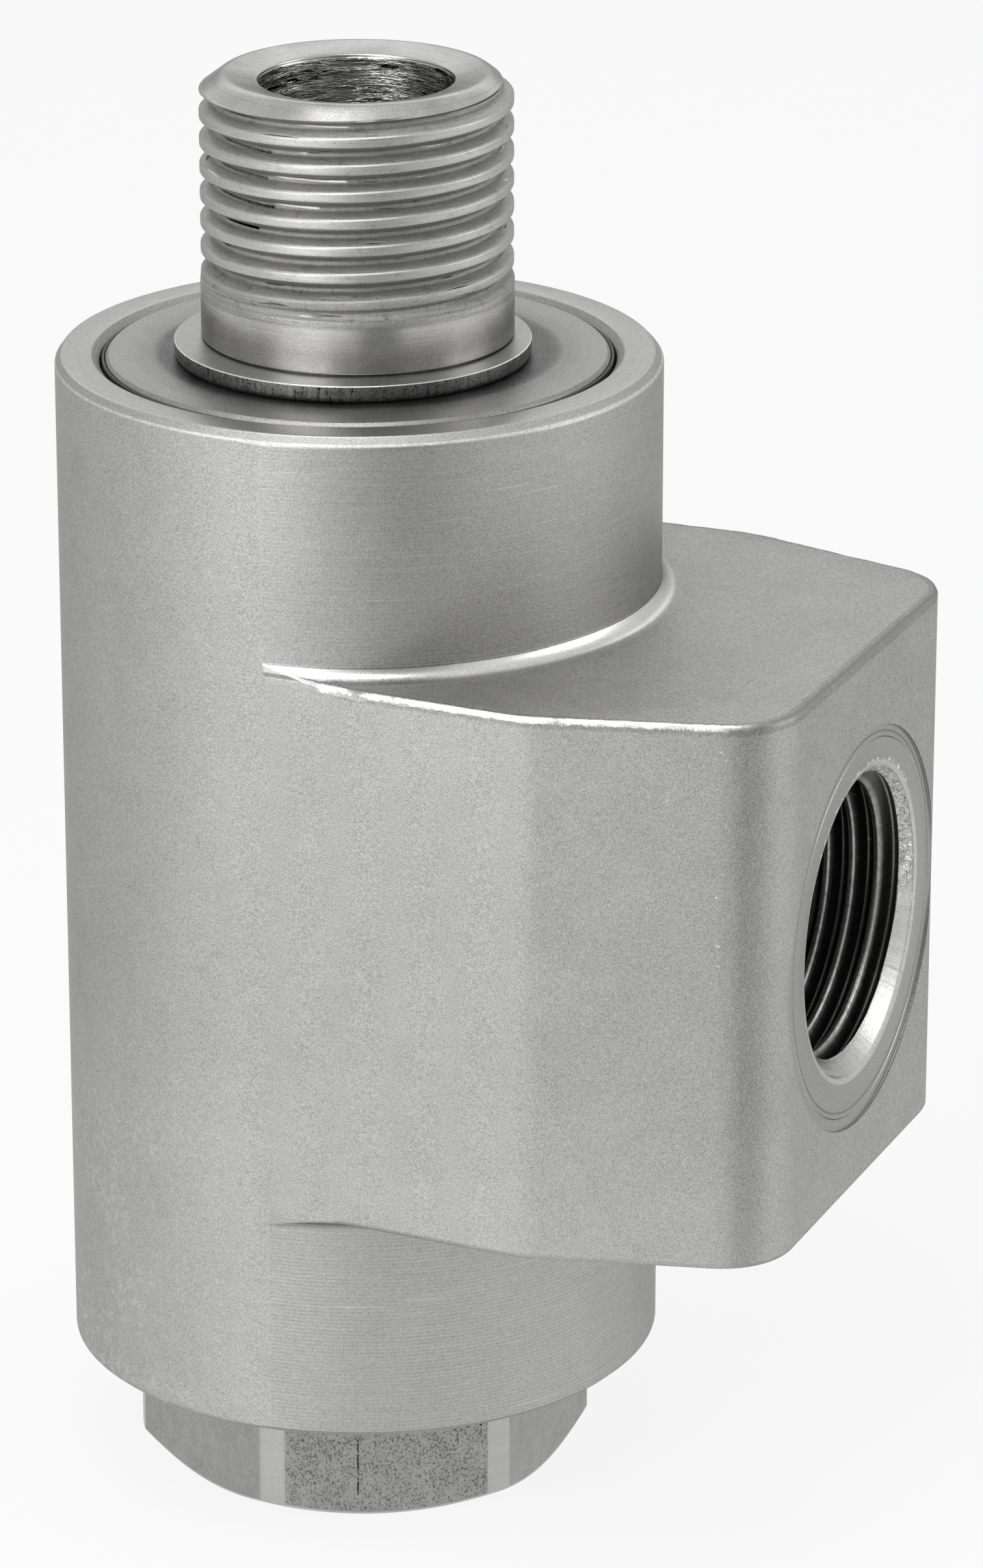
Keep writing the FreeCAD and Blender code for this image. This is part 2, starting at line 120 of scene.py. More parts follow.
# A profile of (radius, height, rounding): each corner with a rounding becomes an arc-like bend of that reach,
# point = (1-t)^2 start + 2t(1-t) corner + t^2 end
def rounded(profile, steps=4):
    points = [np.array(p[:2], float) for p in profile]
    made = []
    for i, corner in enumerate(points):
        reach = profile[i][2] if len(profile[i]) > 2 else 0
        if not reach:
            made.append(corner)
            continue
        before, after = points[i - 1] - corner, points[(i + 1) % len(points)] - corner
        start = corner + before * min(reach / np.linalg.norm(before), 0.5)
        end = corner + after * min(reach / np.linalg.norm(after), 0.5)
        t = np.linspace(0, 1, steps + 1)[:, None]
        made.extend((1 - t) ** 2 * start + 2 * t * (1 - t) * corner + t ** 2 * end)
    return np.array(made)


# Points about the swivel axis: x = r cos(angle), y = r sin(angle), z = height
def around(r, angle, z):
    return np.stack([r * np.cos(angle), r * np.sin(angle), z + 0 * angle], -1)


# A closed profile turned about the swivel axis
def turnedPoints(profile, columns=240):
    loop = np.concatenate([profile, profile[:1]])
    return around(loop[:, :1], np.linspace(0, 2 * np.pi, columns, endpoint=False), loop[:, 1:2])


def cutWith(piece, tool):
    cut = piece.modifiers.new("cut", "BOOLEAN")
    cut.operation, cut.solver, cut.object = "DIFFERENCE", "EXACT", tool
    graph = bpy.context.evaluated_depsgraph_get()
    made = bpy.data.meshes.new_from_object(piece.evaluated_get(graph))
    piece.modifiers.clear()
    old = piece.data
    piece.data = made
    made.name = old.name
    bpy.data.meshes.remove(old)
    bpy.data.objects.remove(tool)
    return piece


# A plain round tool from one point to another
def roundTool(name, radius, start, end, columns=48):
    way = (end - start) / np.linalg.norm(end - start)
    side = np.cross(way, [0, 0, 1]) if abs(way[2]) < 0.9 else np.array([1.0, 0, 0])
    side = side / np.linalg.norm(side)
    other = np.cross(way, side)
    angle = np.linspace(0, 2 * np.pi, columns, endpoint=False)
    ring = radius * (np.cos(angle)[:, None] * side + np.sin(angle)[:, None] * other)
    return solidFromGrid(name, np.stack([start + 0 * ring, start + ring, end + ring, end + 0 * ring]))


def pointsOf(piece):
    flat = np.zeros(len(piece.data.vertices) * 3, np.float32)
    piece.data.vertices.foreach_get("co", flat)
    return flat.reshape(-1, 3).astype(float) / mm


def giveAttribute(piece, name, values):
    attribute = piece.data.attributes.new(name, "FLOAT", "POINT")
    attribute.data.foreach_set("value", np.asarray(values, np.float32))


# A 55 degree thread, with its crest and root rounded by a share of the pitch. The rows that carry it stand
# at shares of the rounding's reach, and then at phases down the flank
thread = {
    "pitch": 1.8143,
    "roundShare": 0.137329,
    "halfAngle": 27.5,
    "arcRows": [0, 0.4, 0.75, 1],
    "flankRows": [0.136, 0.148, 0.161, 0.18, 0.22, 0.3],
}


# Radius of the rounding, its reach along the axis, its fall, the flank's slope and the whole depth
def threadShape():
    pitch = thread["pitch"]
    roundR = thread["roundShare"] * pitch
    turn = math.radians(90 - thread["halfAngle"])
    slope = math.tan(math.radians(thread["halfAngle"]))
    reach, fall = roundR * math.sin(turn), roundR * (1 - math.cos(turn))
    return roundR, reach, fall, slope, 2 * fall + (pitch / 2 - 2 * reach) / slope


# Depth below the crest at a phase counted in pitches from a crest: an arc over the crest, a straight flank
# and an arc in the root
def threadDrop(phase):
    pitch = thread["pitch"]
    roundR, reach, fall, slope, depth = threadShape()
    away = np.abs((phase + 0.5) % 1 - 0.5) * pitch
    fromRoot = pitch / 2 - away
    crest = roundR - np.sqrt(roundR ** 2 - np.minimum(away, reach) ** 2)
    root = depth - roundR + np.sqrt(roundR ** 2 - np.minimum(fromRoot, reach) ** 2)
    flank = fall + (away - reach) / slope
    return np.where(away < reach, crest, np.where(fromRoot < reach, root, flank))


# Rows of a thread follow its helix, so that crest and root stay crisp: distance = pitch * (phase + turns),
# clipped to the threaded length, where the clipped rows fall on one circle
def threadRows(start, end, crestAt, turns):
    pitch = thread["pitch"]
    reach = thread["roundShare"] * math.sin(math.radians(90 - thread["halfAngle"]))
    arc = reach * np.array(thread["arcRows"])
    half = np.concatenate([arc, thread["flankRows"], 0.5 - arc[:0:-1]])
    perPitch = np.concatenate([half, [0.5], 1 - half[:0:-1]])
    low, high = math.floor((start - crestAt) / pitch) - 2, math.ceil((end - crestAt) / pitch) + 2
    phase = (np.arange(low, high)[:, None] + perPitch[None, :]).ravel()
    along = np.clip(crestAt + pitch * (phase[:, None] + turns[None, :]), start, end)
    return along, (along - crestAt) / pitch - turns


# Housing. The hollow is the fillet between the barrel and the lug's face, and its step is milled ragged:
# slow and fast are waves of the upper edge's break, and the tips are where the hollow runs out
housingSizes = {
    "hollowR": 1.45,
    "hollowStart": 70.0,
    "edgeBreak": 0.34,
    "raggedSlow": 0.22,
    "raggedFast": 0.16,
    "raggedTips": 0.7,
    "milledRise": 0.17,
    "lugHalfHeight": 18.9,
    "lugRise": 0.15,
    "bendX": 20.6,
    "bendY": 20.8,
    "taper": 15.4,
    "blendR": 7.0,
    "cornerR": 5.0,
    "rimDrop": 0.3,
    "rimChamfer": 0.42,
    "innerChamfer": 0.6,
    "footChamfer": 0.25,
    "recessR": 17.2,
    "recessRise": 6.55,
    "shoulderR": 14.4,
    "shoulderWidth": 1.0,
    "guideGap": 0.08,
    "chamberR": 14.5,
    "chamberGap": 1.7,
    "noseHeight": 14.5,
    "plugLead": 0.4,
    "columns": [28, 14, 24, 6, 14, 26, 8, 46],
}
rimZ = housingHigh[2] - housingSizes["rimDrop"]


# Plan of the lug as a distance from the swivel axis for each direction: a side at a tangent to the barrel,
# a blend arc, a tapering side, a corner arc and the flat end face
def lugReach(angle):
    s = housingSizes
    bend = np.array([s["bendX"], s["bendY"]])
    tangentAngle = math.atan2(bend[1], bend[0]) + math.acos(barrelR / np.linalg.norm(bend))
    sideNormal = math.radians(90 - s["taper"])
    taperLine = bend @ [math.cos(sideNormal), math.sin(sideNormal)]
    inner = np.array([[math.cos(tangentAngle), math.sin(tangentAngle)],
                      [math.cos(sideNormal), math.sin(sideNormal)]])
    blendCentre = np.linalg.solve(inner, [barrelR - s["blendR"], taperLine - s["blendR"]])
    faceNormal = np.array([[1, 0], [math.cos(sideNormal), math.sin(sideNormal)]])
    cornerCentre = np.linalg.solve(faceNormal, [faceX - s["cornerR"], taperLine - s["cornerR"]])

    def arcReach(centre, radius):
        along = centre[0] * np.cos(angle) + centre[1] * np.sin(angle)
        across = centre[1] * np.cos(angle) - centre[0] * np.sin(angle)
        return along + np.sqrt(np.maximum(radius ** 2 - across ** 2, 0))

    def edgeAngle(centre, radius, normal):
        return math.atan2(centre[1] + radius * math.sin(normal), centre[0] + radius * math.cos(normal))

    limits = [
        edgeAngle(cornerCentre, s["cornerR"], 0),
        edgeAngle(cornerCentre, s["cornerR"], sideNormal),
        edgeAngle(blendCentre, s["blendR"], sideNormal),
        edgeAngle(blendCentre, s["blendR"], tangentAngle),
        tangentAngle,
    ]
    reaches = [
        faceX / np.maximum(np.cos(angle), 0.1),
        arcReach(cornerCentre, s["cornerR"]),
        taperLine / np.maximum(np.cos(angle - sideNormal), 0.1),
        arcReach(blendCentre, s["blendR"]),
        barrelR / np.maximum(np.cos(angle - tangentAngle), 0.1),
    ]
    return np.select([angle <= limit for limit in limits], reaches, barrelR), limits


# Profile from the rim's chamfer down the bore and round the foot. Seats, grooves and the inlet chamber
# stand where the CAD's bearings, seals, guide ring and plug are
def housingBore():
    s = housingSizes
    foot, guide = housingLow[2], shaftHigh[0] + s["guideGap"]
    upperLow, lowerHigh = cornersOf("upper_outer_ring")[0][2], cornersOf("lower_outer_ring")[1][2]
    seat, sealR = cornersOf("upper_outer_ring")[1][0], cornersOf("upper_seal_o_ring")[1][0]
    lowerSeal = [cornersOf("lower_backup_ring")[0][2], cornersOf("lower_slipper_seal")[1][2]]
    upperSeal = [cornersOf("upper_slipper_seal")[0][2], cornersOf("upper_backup_ring")[1][2]]
    grooves = [(high[0], low[2], high[2]) for low, high in (cornersOf("grease_seal"), cornersOf("wear_ring"))]
    grooves += [
        (sealR, *upperSeal),
        (s["chamberR"], lowerSeal[1] + s["chamberGap"], upperSeal[0] - s["chamberGap"]),
        (sealR, *lowerSeal),
    ]
    bore = [
        (s["recessR"] + s["innerChamfer"], rimZ, 0.08),
        (s["recessR"], rimZ - s["innerChamfer"], 0.12),
        (s["recessR"], upperLow + s["recessRise"]),
        (seat, upperLow + s["recessRise"]),
        (seat, upperLow),
        (s["shoulderR"], upperLow),
        (s["shoulderR"], upperLow - s["shoulderWidth"]),
        (guide, upperLow - s["shoulderWidth"]),
    ]
    for r, low, high in grooves:
        bore += [(guide, high), (r, high), (r, low), (guide, low)]
    bore += [
        (guide, lowerHigh + s["shoulderWidth"]),
        (s["shoulderR"], lowerHigh + s["shoulderWidth"]),
        (s["shoulderR"], lowerHigh),
        (seat, lowerHigh),
        (seat, s["noseHeight"]),
        (plugHigh[0], s["noseHeight"]),
        (plugHigh[0], foot + s["plugLead"]),
        (plugHigh[0] + s["plugLead"], foot),
    ]
    chamfer = [(barrelR, rimZ - s["rimChamfer"]), (barrelR - s["rimChamfer"], rimZ, 0.09)]
    footEdge = [(barrelR - s["footChamfer"], foot, 0.1), (barrelR, foot + 1)]
    return np.concatenate([rounded(chamfer + bore[:3])[1:-1], rounded(bore[2:]),
                           rounded(bore[-1:] + footEdge)[1:-1]])


# Outside of the housing around a direction: barrel, hollow, lug face, broken edge, lug side and back again.
# The hollow is an arc of radius R that leaves the barrel at an angle a0 from the face: at a distance d from
# the barrel it stands R (1 - cos a) over the face with sin a = sin a0 - d / R. Over and under the lug the
# barrel is milled round again, a trace larger, so its radius = min(outline, milled radius).
def housingShell():
    s = housingSizes
    hollowR, startAngle = s["hollowR"], math.radians(s["hollowStart"])
    width, rise = hollowR * math.sin(startAngle), hollowR * (1 - math.cos(startAngle))
    milledR = barrelR + s["milledRise"]
    limits = lugReach(np.zeros(1))[1]
    millEdge = limits[4] - math.acos(barrelR / milledR)
    fullStep = limits[4] - math.acos(barrelR / (milledR + width * 0.8))
    ends = [0, *limits[:4], fullStep, millEdge, limits[4], math.pi]
    spans = [np.linspace(a, b, n, endpoint=False) for a, b, n in zip(ends, ends[1:], s["columns"])]
    half = np.concatenate(spans + [[math.pi]])
    reach = lugReach(half)[0]
    turn = np.concatenate([-half[:0:-1], half[:-1]])
    reach = np.concatenate([reach[:0:-1], reach[:-1]])
    base = np.minimum(reach, milledR)
    gap = reach - base

    # the break of the edges, ragged on the upper one but not beside the end face, and soft where it runs out
    rough = 1 + s["raggedSlow"] * np.sin(turn * 41) * np.sin(turn * 17 + 1)
    rough = rough + s["raggedFast"] * np.sin(turn * 97 + 2)
    rough = rough * (1 + s["raggedTips"] * np.exp(-((gap - 1.1 * width) / width) ** 2))
    rough = 1 + (rough - 1) * np.clip((faceX - 0.5 - reach * np.cos(turn)) / 2, 0, 1)
    soft = 0.4 * np.clip(gap / 0.5, 0, 1) + 0.6 * np.clip((gap - 0.7 * width) / (0.25 * width), 0, 1)
    soft = s["edgeBreak"] * soft
    kink = np.clip((np.abs(turn) - millEdge) * 12, 0, 1)

    def step(height, way, edge):
        edge = np.minimum(edge, 0.8 * gap)
        inner = np.maximum(gap - edge, 0)
        last = np.arcsin(np.clip(math.sin(startAngle) - inner / hollowR, 0, 1))
        rows = []
        for share in np.linspace(0, 1, 10):
            a = startAngle + (last - startAngle) * share
            out = hollowR * (math.sin(startAngle) - np.sin(a))
            rows.append((base + out, height + way * hollowR * (1 - np.cos(a))))
        start = np.minimum(inner, width)
        top = height + way * hollowR * (1 - np.cos(last))
        for share in (0.33, 0.66, 1.0):
            rows.append((base + start + (inner - start) * share, top))
        for share in (0.35, 0.7, 1.0):
            sink = edge * (1 - math.sqrt(1 - 0.7 * share ** 2)) / (1 - math.sqrt(0.3))
            rows.append((base + inner + (gap - inner) * share, top - way * sink))
        return rows

    low, high = portZ + s["lugRise"] - s["lugHalfHeight"], portZ + s["lugRise"] + s["lugHalfHeight"]
    z = housingLow[2] + s["footChamfer"] + base - barrelR
    rows = [(base, z)]
    rows += [(base, z + 0.15 + (low - rise - z - 0.3) * share) for share in np.linspace(0, 1, 5)]
    rows += step(low, -1, soft)
    upper = step(high, 1, soft * rough)[::-1]
    sideLow, sideHigh = rows[-1][1] + 0.08, upper[0][1] - 0.08
    rows += [(reach, sideLow + (sideHigh - sideLow) * share) for share in np.linspace(0, 1, 9)]
    rows += upper
    chamferLow = rimZ - s["rimChamfer"] - s["milledRise"] + kink * 0.09
    for share in np.linspace(0, 1, 5):
        rows.append((base, high + rise + 0.15 + (chamferLow - 0.35 - high - rise) * share))
    rows += [(base - inset, chamferLow + up) for inset, up in ((0, -0.09), (0.02, -0.02), (0.07, 0.05))]
    rows += [(r + 0 * turn, z + 0 * turn) for r, z in housingBore()]
    r, z = np.stack(rows, 1)
    points = around(r, turn, z)
    return np.concatenate([points, points[:1]])


# What the port takes away: a solid turned about the port's axis, its radius the larger of the mouth's cone
# and the helical thread, with a spot face, a scribed ring and the drilled passage
portSizes = {
    "spotR": 13.75,
    "spotDepth": 0.15,
    "spotBreak": 0.03,
    "scribeR": 12.9,
    "scribeDepth": 0.05,
    "spotDrop": 0.42,
    "lipR": 10.95,
    "mouthR": 10.52,
    "mouthDepth": 0.2,
    "threadLength": 15.0,
    "drillR": 6.5,
    "drillPoint": 59.0,
    "passageEnd": 12.0,
    "columns": 192,
    "crestAt": 0.7,
}


def portTool():
    s = portSizes
    floor, end = s["spotDepth"], s["threadLength"]
    mouth, passageEnd = floor + s["mouthDepth"], faceX - s["passageEnd"]
    turns = np.linspace(0, 1, s["columns"] + 1)
    along, phase = threadRows(mouth + 0.02, end, s["crestAt"], -turns)
    crestR = portRootR - threadShape()[-1]
    threaded = np.maximum(crestR + threadDrop(phase), s["mouthR"] - (along - mouth))
    point = (portRootR - s["drillR"]) * math.tan(math.radians(90 - s["drillPoint"]))
    spot = [
        (0, -1.0),
        (s["spotR"], -1.0),
        (s["spotR"], floor - s["spotBreak"]),
        (s["spotR"] - s["spotBreak"], floor),
        (s["scribeR"] + s["scribeDepth"], floor),
        (s["scribeR"], floor + s["scribeDepth"]),
        (s["scribeR"] - s["scribeDepth"], floor),
    ]
    lip = [(s["lipR"], floor), (s["mouthR"] + 0.06, mouth - 0.1), (s["mouthR"], mouth)]
    drill = [(portRootR, end), (s["drillR"], end + point), (s["drillR"], passageEnd), (0, passageEnd)]
    before, after = [np.array(profile)[:, :, None] + 0 * turns for profile in (spot + lip, drill)]
    radius = np.concatenate([before[:, 0], threaded, after[:, 0]])
    depth = np.concatenate([before[:, 1], along, after[:, 1]])
    angle = 2 * np.pi * turns
    middle = portZ - s["spotDrop"] * (np.arange(len(radius)) < len(spot))[:, None]
    points = np.stack([faceX - depth, radius * np.cos(angle), middle + radius * np.sin(angle)], -1)
    return solidFromGrid("portTool", points, closed=False)


housing = solidFromGrid("housing_shell", housingShell())
print("housing shell", len(housing.data.polygons))
housing = shadedSmooth(cutWith(housing, portTool()))
print("housing with its port", len(housing.data.polygons))


# Shaft with its stub: a hollow turned body whose thread follows a right-hand helix, runs out above the collar
# and ends under a broad lead, with four cross holes at the height of the port
shaftSizes = {
    "landR": 12.0,
    "landChamfer": 0.4,
    "seatR": 10.5,
    "collarR": 10.45,
    "grooveR": 10.0,
    "boreR": 6.5,
    "lipR": 8.84,
    "leadHeight": 1.17,
    "leadStart": 0.45,
    "dishDepth": 0.55,
    "threadStart": 84.2,
    "runoutStart": 84.5,
    "runoutEnd": 85.9,
    "crestHeight": 95.85,
    "crestCut": 0.27,
    "crestRounding": 0.07,
    "leadRounding": 0.35,
    "crestAzimuth": -154.3,
    "crossHoleR": 4.5,
    "boreFloor": 1.75,
    "drillPoint": 59.0,
    "waistR": 11.0,
    "waistReach": 4,
    "snapDepth": 1.6,
    "snapHalf": 0.8,
    "columns": 256,
}


def shaftPoints():
    s = shaftSizes
    low, top = shaftLow[2], shaftHigh[2]
    turns = np.linspace(0, 1, s["columns"] + 1)
    crestAt = s["crestHeight"] - thread["pitch"] * s["crestAzimuth"] / 360
    along, phase = threadRows(s["threadStart"] + 0.02, top - s["leadStart"], crestAt, turns)

    # the runout fades the thread in, and a smooth maximum cuts its crests: (a + sqrt(a^2 + b^2)) / 2
    fade = np.clip((along - s["runoutStart"]) / (s["runoutEnd"] - s["runoutStart"]), 0, 1)
    plainR = s["collarR"] + (stubCrestR - s["collarR"]) * np.clip(fade * 3, 0, 1)
    over, blend = threadDrop(phase) - s["crestCut"], s["crestRounding"]
    drop = (over + np.sqrt(over ** 2 + blend ** 2) + s["crestCut"] - math.hypot(s["crestCut"], blend)) / 2
    threadR = plainR - drop * fade ** 1.5 * (3 - 2 * fade ** 1.5)
    leadR = s["lipR"] + (top - along) * (stubCrestR - s["lipR"]) / s["leadHeight"]
    threaded = np.minimum(threadR, leadR)

    land, seat, groove = s["landR"], s["seatR"], s["grooveR"]
    chamfer, waist = s["landChamfer"], s["waistReach"]
    lowShoulder, highShoulder = cornersOf("lower_inner_ring")[1][2], cornersOf("upper_inner_ring")[0][2]
    snapLow, snapHigh = cornersOf("shaft_end_snap_ring")
    snapZ, snapR = snapLow[2] + s["snapHalf"], snapHigh[1] - s["snapDepth"]
    boreFloor = portZ - s["crossHoleR"] - s["boreFloor"]
    slope, leadTop = (stubCrestR - s["lipR"]) / s["leadHeight"], s["leadStart"] + 0.01
    inside = rounded([
        (s["lipR"] + leadTop * slope, top - leadTop),
        (s["lipR"], top, s["leadRounding"]),
        (s["boreR"], top - s["dishDepth"], 0.12),
        (s["boreR"], boreFloor),
        (0, boreFloor - s["boreR"] / math.tan(math.radians(s["drillPoint"]))),
    ])
    outside = rounded([
        (0, low), (seat - chamfer, low), (seat, low + chamfer), (seat, snapZ - s["snapHalf"]),
        (snapR, snapZ - 0.5), (snapR, snapZ + 0.5), (seat, snapZ + s["snapHalf"]), (seat, lowShoulder),
        (land - chamfer, lowShoulder), (land, lowShoulder + chamfer),
        (land, portZ - waist - 1), (s["waistR"], portZ - waist),
        (s["waistR"], portZ + waist), (land, portZ + waist + 1),
        (land, highShoulder - chamfer), (land - chamfer, highShoulder),
        (seat, highShoulder), (seat, discHigh[2]), (groove, discHigh[2]), (groove, ringHigh[2] + 0.1),
        (s["collarR"], ringHigh[2] + 0.1, 0.12), (s["collarR"], s["threadStart"] + 0.02),
    ])
    outside, inside = [profile[:, :, None] + 0 * turns for profile in (outside, inside)]
    r = np.concatenate([outside[:, 0], threaded, inside[:, 0]])
    z = np.concatenate([outside[:, 1], along, inside[:, 1]])
    return around(r, 2 * np.pi * turns, z)


shaft = solidFromGrid("shaft_body", shaftPoints(), closed=False)
for way in ((1, 0, 0), (0, 1, 0)):
    middle, reach = np.array([0, 0, portZ]), np.array(way) * (shaftSizes["landR"] + 1)
    shaft = cutWith(shaft, roundTool("crossHole", shaftSizes["crossHoleR"], middle - reach, middle + reach))
shadedSmooth(shaft, 34)
print("shaft", len(shaft.data.polygons))


# Stamped retaining ring: an offset outer circle over the groove's circle, two pierced ears beside the gap,
# rolled-over lower edges and sharp upper ones
ringSizes = {
    "grooveR": 10.0,
    "beam": 2.7,
    "tip": 1.1,
    "earR": 2.0,
    "holeR": 1.0,
    "gapAngle": 20.0,
    "earAngle": 19.0,
    "turned": 90.0,
    "rollOver": 0.42,
    "burr": 0.06,
    "earColumns": 26,
    "beamColumns": 170,
}


def retainingRing():
    s = ringSizes
    outerR, offset = s["grooveR"] + (s["beam"] + s["tip"]) / 2, (s["beam"] - s["tip"]) / 2
    earPitch = s["grooveR"] + s["earR"]
    near = np.linspace(math.radians(s["gapAngle"] / 2), math.radians(s["earAngle"] + 10), s["earColumns"])
    far = np.linspace(near[-1], 2 * np.pi - near[-1], s["beamColumns"])[1:-1]
    angle = np.concatenate([near, far, 2 * np.pi - near[::-1]])
    reach = -offset * np.cos(angle) + np.sqrt(outerR ** 2 - (offset * np.sin(angle)) ** 2)
    for side in (-1, 1):
        away = angle - side * math.radians(s["earAngle"])
        inEar = s["earR"] ** 2 - (earPitch * np.sin(away)) ** 2
        ear = earPitch * np.cos(away) + np.sqrt(np.maximum(inEar, 0))
        reach = np.where((inEar > 0) & (np.cos(away) > 0), np.maximum(reach, ear), reach)
    low, high = ringLow[2], ringHigh[2]
    roll, burr = s["rollOver"], s["burr"]

    # the section as (on the outer side, inset, height)
    section = [(0, burr, low), (0, 0, low + burr), (0, 0, high - burr), (0, burr, high)]
    section += [(1, burr, high), (1, 0, high - burr)]
    for bend in np.linspace(0, np.pi / 2, 5):
        section.append((1, roll * (1 - math.cos(bend)), low + roll * (1 - math.sin(bend))))
    rows = []
    for outer, inset, z in section:
        rows.append(around(reach - inset if outer else s["grooveR"] + inset + 0 * reach, angle, z))
    middle = np.mean(rows, axis=0)
    rows = np.stack(rows + [rows[0]])
    ends = [np.repeat(middle[k][None, None], len(rows), 0) for k in (0, -1)]
    x, y, z = np.moveaxis(np.concatenate([ends[0], rows, ends[1]], axis=1), -1, 0)
    turn = math.radians(s["turned"])
    points = [x * math.cos(turn) - y * math.sin(turn), x * math.sin(turn) + y * math.cos(turn), z]
    ring = solidFromGrid("retaining_ring", np.stack(points, -1), closed=False)
    for side in (-1, 1):
        away = math.radians(side * s["earAngle"] + s["turned"])
        centre = earPitch * np.array([math.cos(away), math.sin(away), 0])
        tool = roundTool("earHole", s["holeR"], centre + [0, 0, low - 1], centre + [0, 0, high + 1], 32)
        ring = cutWith(ring, tool)
    return shadedSmooth(ring)


ring = retainingRing()
print("retaining ring", len(ring.data.polygons))


# Cover disc with its hub, and the rubber seal whose lip stands in the gap beside it
discSizes = {"boreR": 10.5, "hubWall": 1.9, "thickness": 1.0, "edge": 0.25}
lipSizes = {"lipWidth": 0.18, "width": 3.6, "thickness": 0.6}


def coverDisc():
    s = discSizes
    outer, low, high = discHigh[0], discHigh[2] - s["thickness"], discHigh[2]
    profile = rounded([
        (s["boreR"], discLow[2], 0.05),
        (s["boreR"] + s["hubWall"], discLow[2], 0.1),
        (s["boreR"] + s["hubWall"], low),
        (outer, low, 0.1),
        (outer, high - s["edge"], 0.07),
        (outer - s["edge"], high, 0.07),
        (s["boreR"], high, 0.05),
    ])
    return solidFromGrid("disc", turnedPoints(profile))


def dustSeal():
    s = lipSizes
    outer, low, top = lipHigh[0], lipLow[2], lipHigh[2]
    base = low + s["thickness"]
    profile = rounded([
        (outer - s["width"], low, 0.05),
        (outer, low, 0.05),
        (outer, top, 0.06),
        (outer - s["lipWidth"], top, 0.06),
        (outer - s["lipWidth"], base, 0.05),
        (outer - s["width"], base, 0.05),
    ])
    return solidFromGrid("lip_seal", turnedPoints(profile))


disc = coverDisc()
lip = dustSeal()
print("disc and dust seal", len(disc.data.polygons), len(lip.data.polygons))


# End plug: a hexagon that meets a turned corner radius and a cone below, over a threaded collar and a nose.
# Flat r = half across flats / cos(angle from the flat's middle), and z of the cone = (r - r0) tan(cone)
plugSizes = {
    "acrossFlats": 28.0,
    "turnedR": 15.72,
    "footR": 13.7,
    "cone": 30.0,
    "coneSoft": 0.12,
    "hexHeight": 9.0,
    "collarChamfer": 0.4,
    "noseR": 16.45,
    "noseLow": 14.5,
    "ringGrooveR": 15.1,
    "ringGrooveLow": 15.35,
    "ringGrooveHigh": 17.35,
    "cavityR": 12.6,
    "cavityDepth": 5.2,
    "cornerBreak": 0.03,
}


def endPlug():
    s = plugSizes
    flat, footR, rise = s["acrossFlats"] / 2, s["footR"], math.tan(math.radians(s["cone"]))
    sector = np.radians(60)
    corner = math.acos(flat / s["turnedR"])
    soft = math.radians(0.7)
    part = np.concatenate([
        np.linspace(0, corner - soft, 13)[:-1],
        np.linspace(corner - soft, corner + soft, 5)[:-1],
        np.linspace(corner + soft, sector / 2, 4),
    ])
    part = np.concatenate([-part[:0:-1], part[:-1]])
    angle = (np.arange(6)[:, None] * sector + part[None, :]).ravel()
    local = np.tile(part, 6)
    reach = np.minimum(flat / np.cos(local), s["turnedR"])
    near = np.abs(np.abs(local) - corner)
    reach = reach - s["cornerBreak"] * np.clip(1 - near / soft, 0, 1) ** 2
    coneZ = (reach - footR) * rise
    plain = 0 * reach
    top, hexTop = plugHigh[2], s["hexHeight"]
    foot = [(0, 0), (footR * 0.5, 0), (footR - 0.35, 0), (footR - 0.1, 0.012), (footR + 0.1, 0.07)]
    rows = [(plain + r, plain + z) for r, z in foot]
    for share in (0.25, 0.6, 0.92):
        r = footR + (reach - footR) * share
        rows.append((r, (r - footR) * rise + 0.03 * (1 - share)))
    rows.append((reach - 0.02, coneZ + 0.03))
    for share in (0, 0.3, 0.6, 1.0):
        rows.append((reach, coneZ + s["coneSoft"] + (hexTop - coneZ - s["coneSoft"]) * share))
    profile = [
        (plugHigh[0] - s["collarChamfer"], hexTop),
        (plugHigh[0], hexTop + s["collarChamfer"]),
        (plugHigh[0], s["noseLow"]),
        (s["noseR"], s["noseLow"]),
        (s["noseR"], s["ringGrooveLow"]),
        (s["ringGrooveR"], s["ringGrooveLow"]),
        (s["ringGrooveR"], s["ringGrooveHigh"]),
        (s["noseR"], s["ringGrooveHigh"]),
        (s["noseR"], top),
        (s["cavityR"], top),
        (s["cavityR"], top - s["cavityDepth"]),
        (0, top - s["cavityDepth"]),
    ]
    rows += [(plain + r, plain + z) for r, z in profile]
    r, z = np.stack(rows, 1)
    return solidFromGrid("hex_plug", around(r, angle, z), sharpAngle=25)


plug = endPlug()
print("end plug", len(plug.data.polygons))


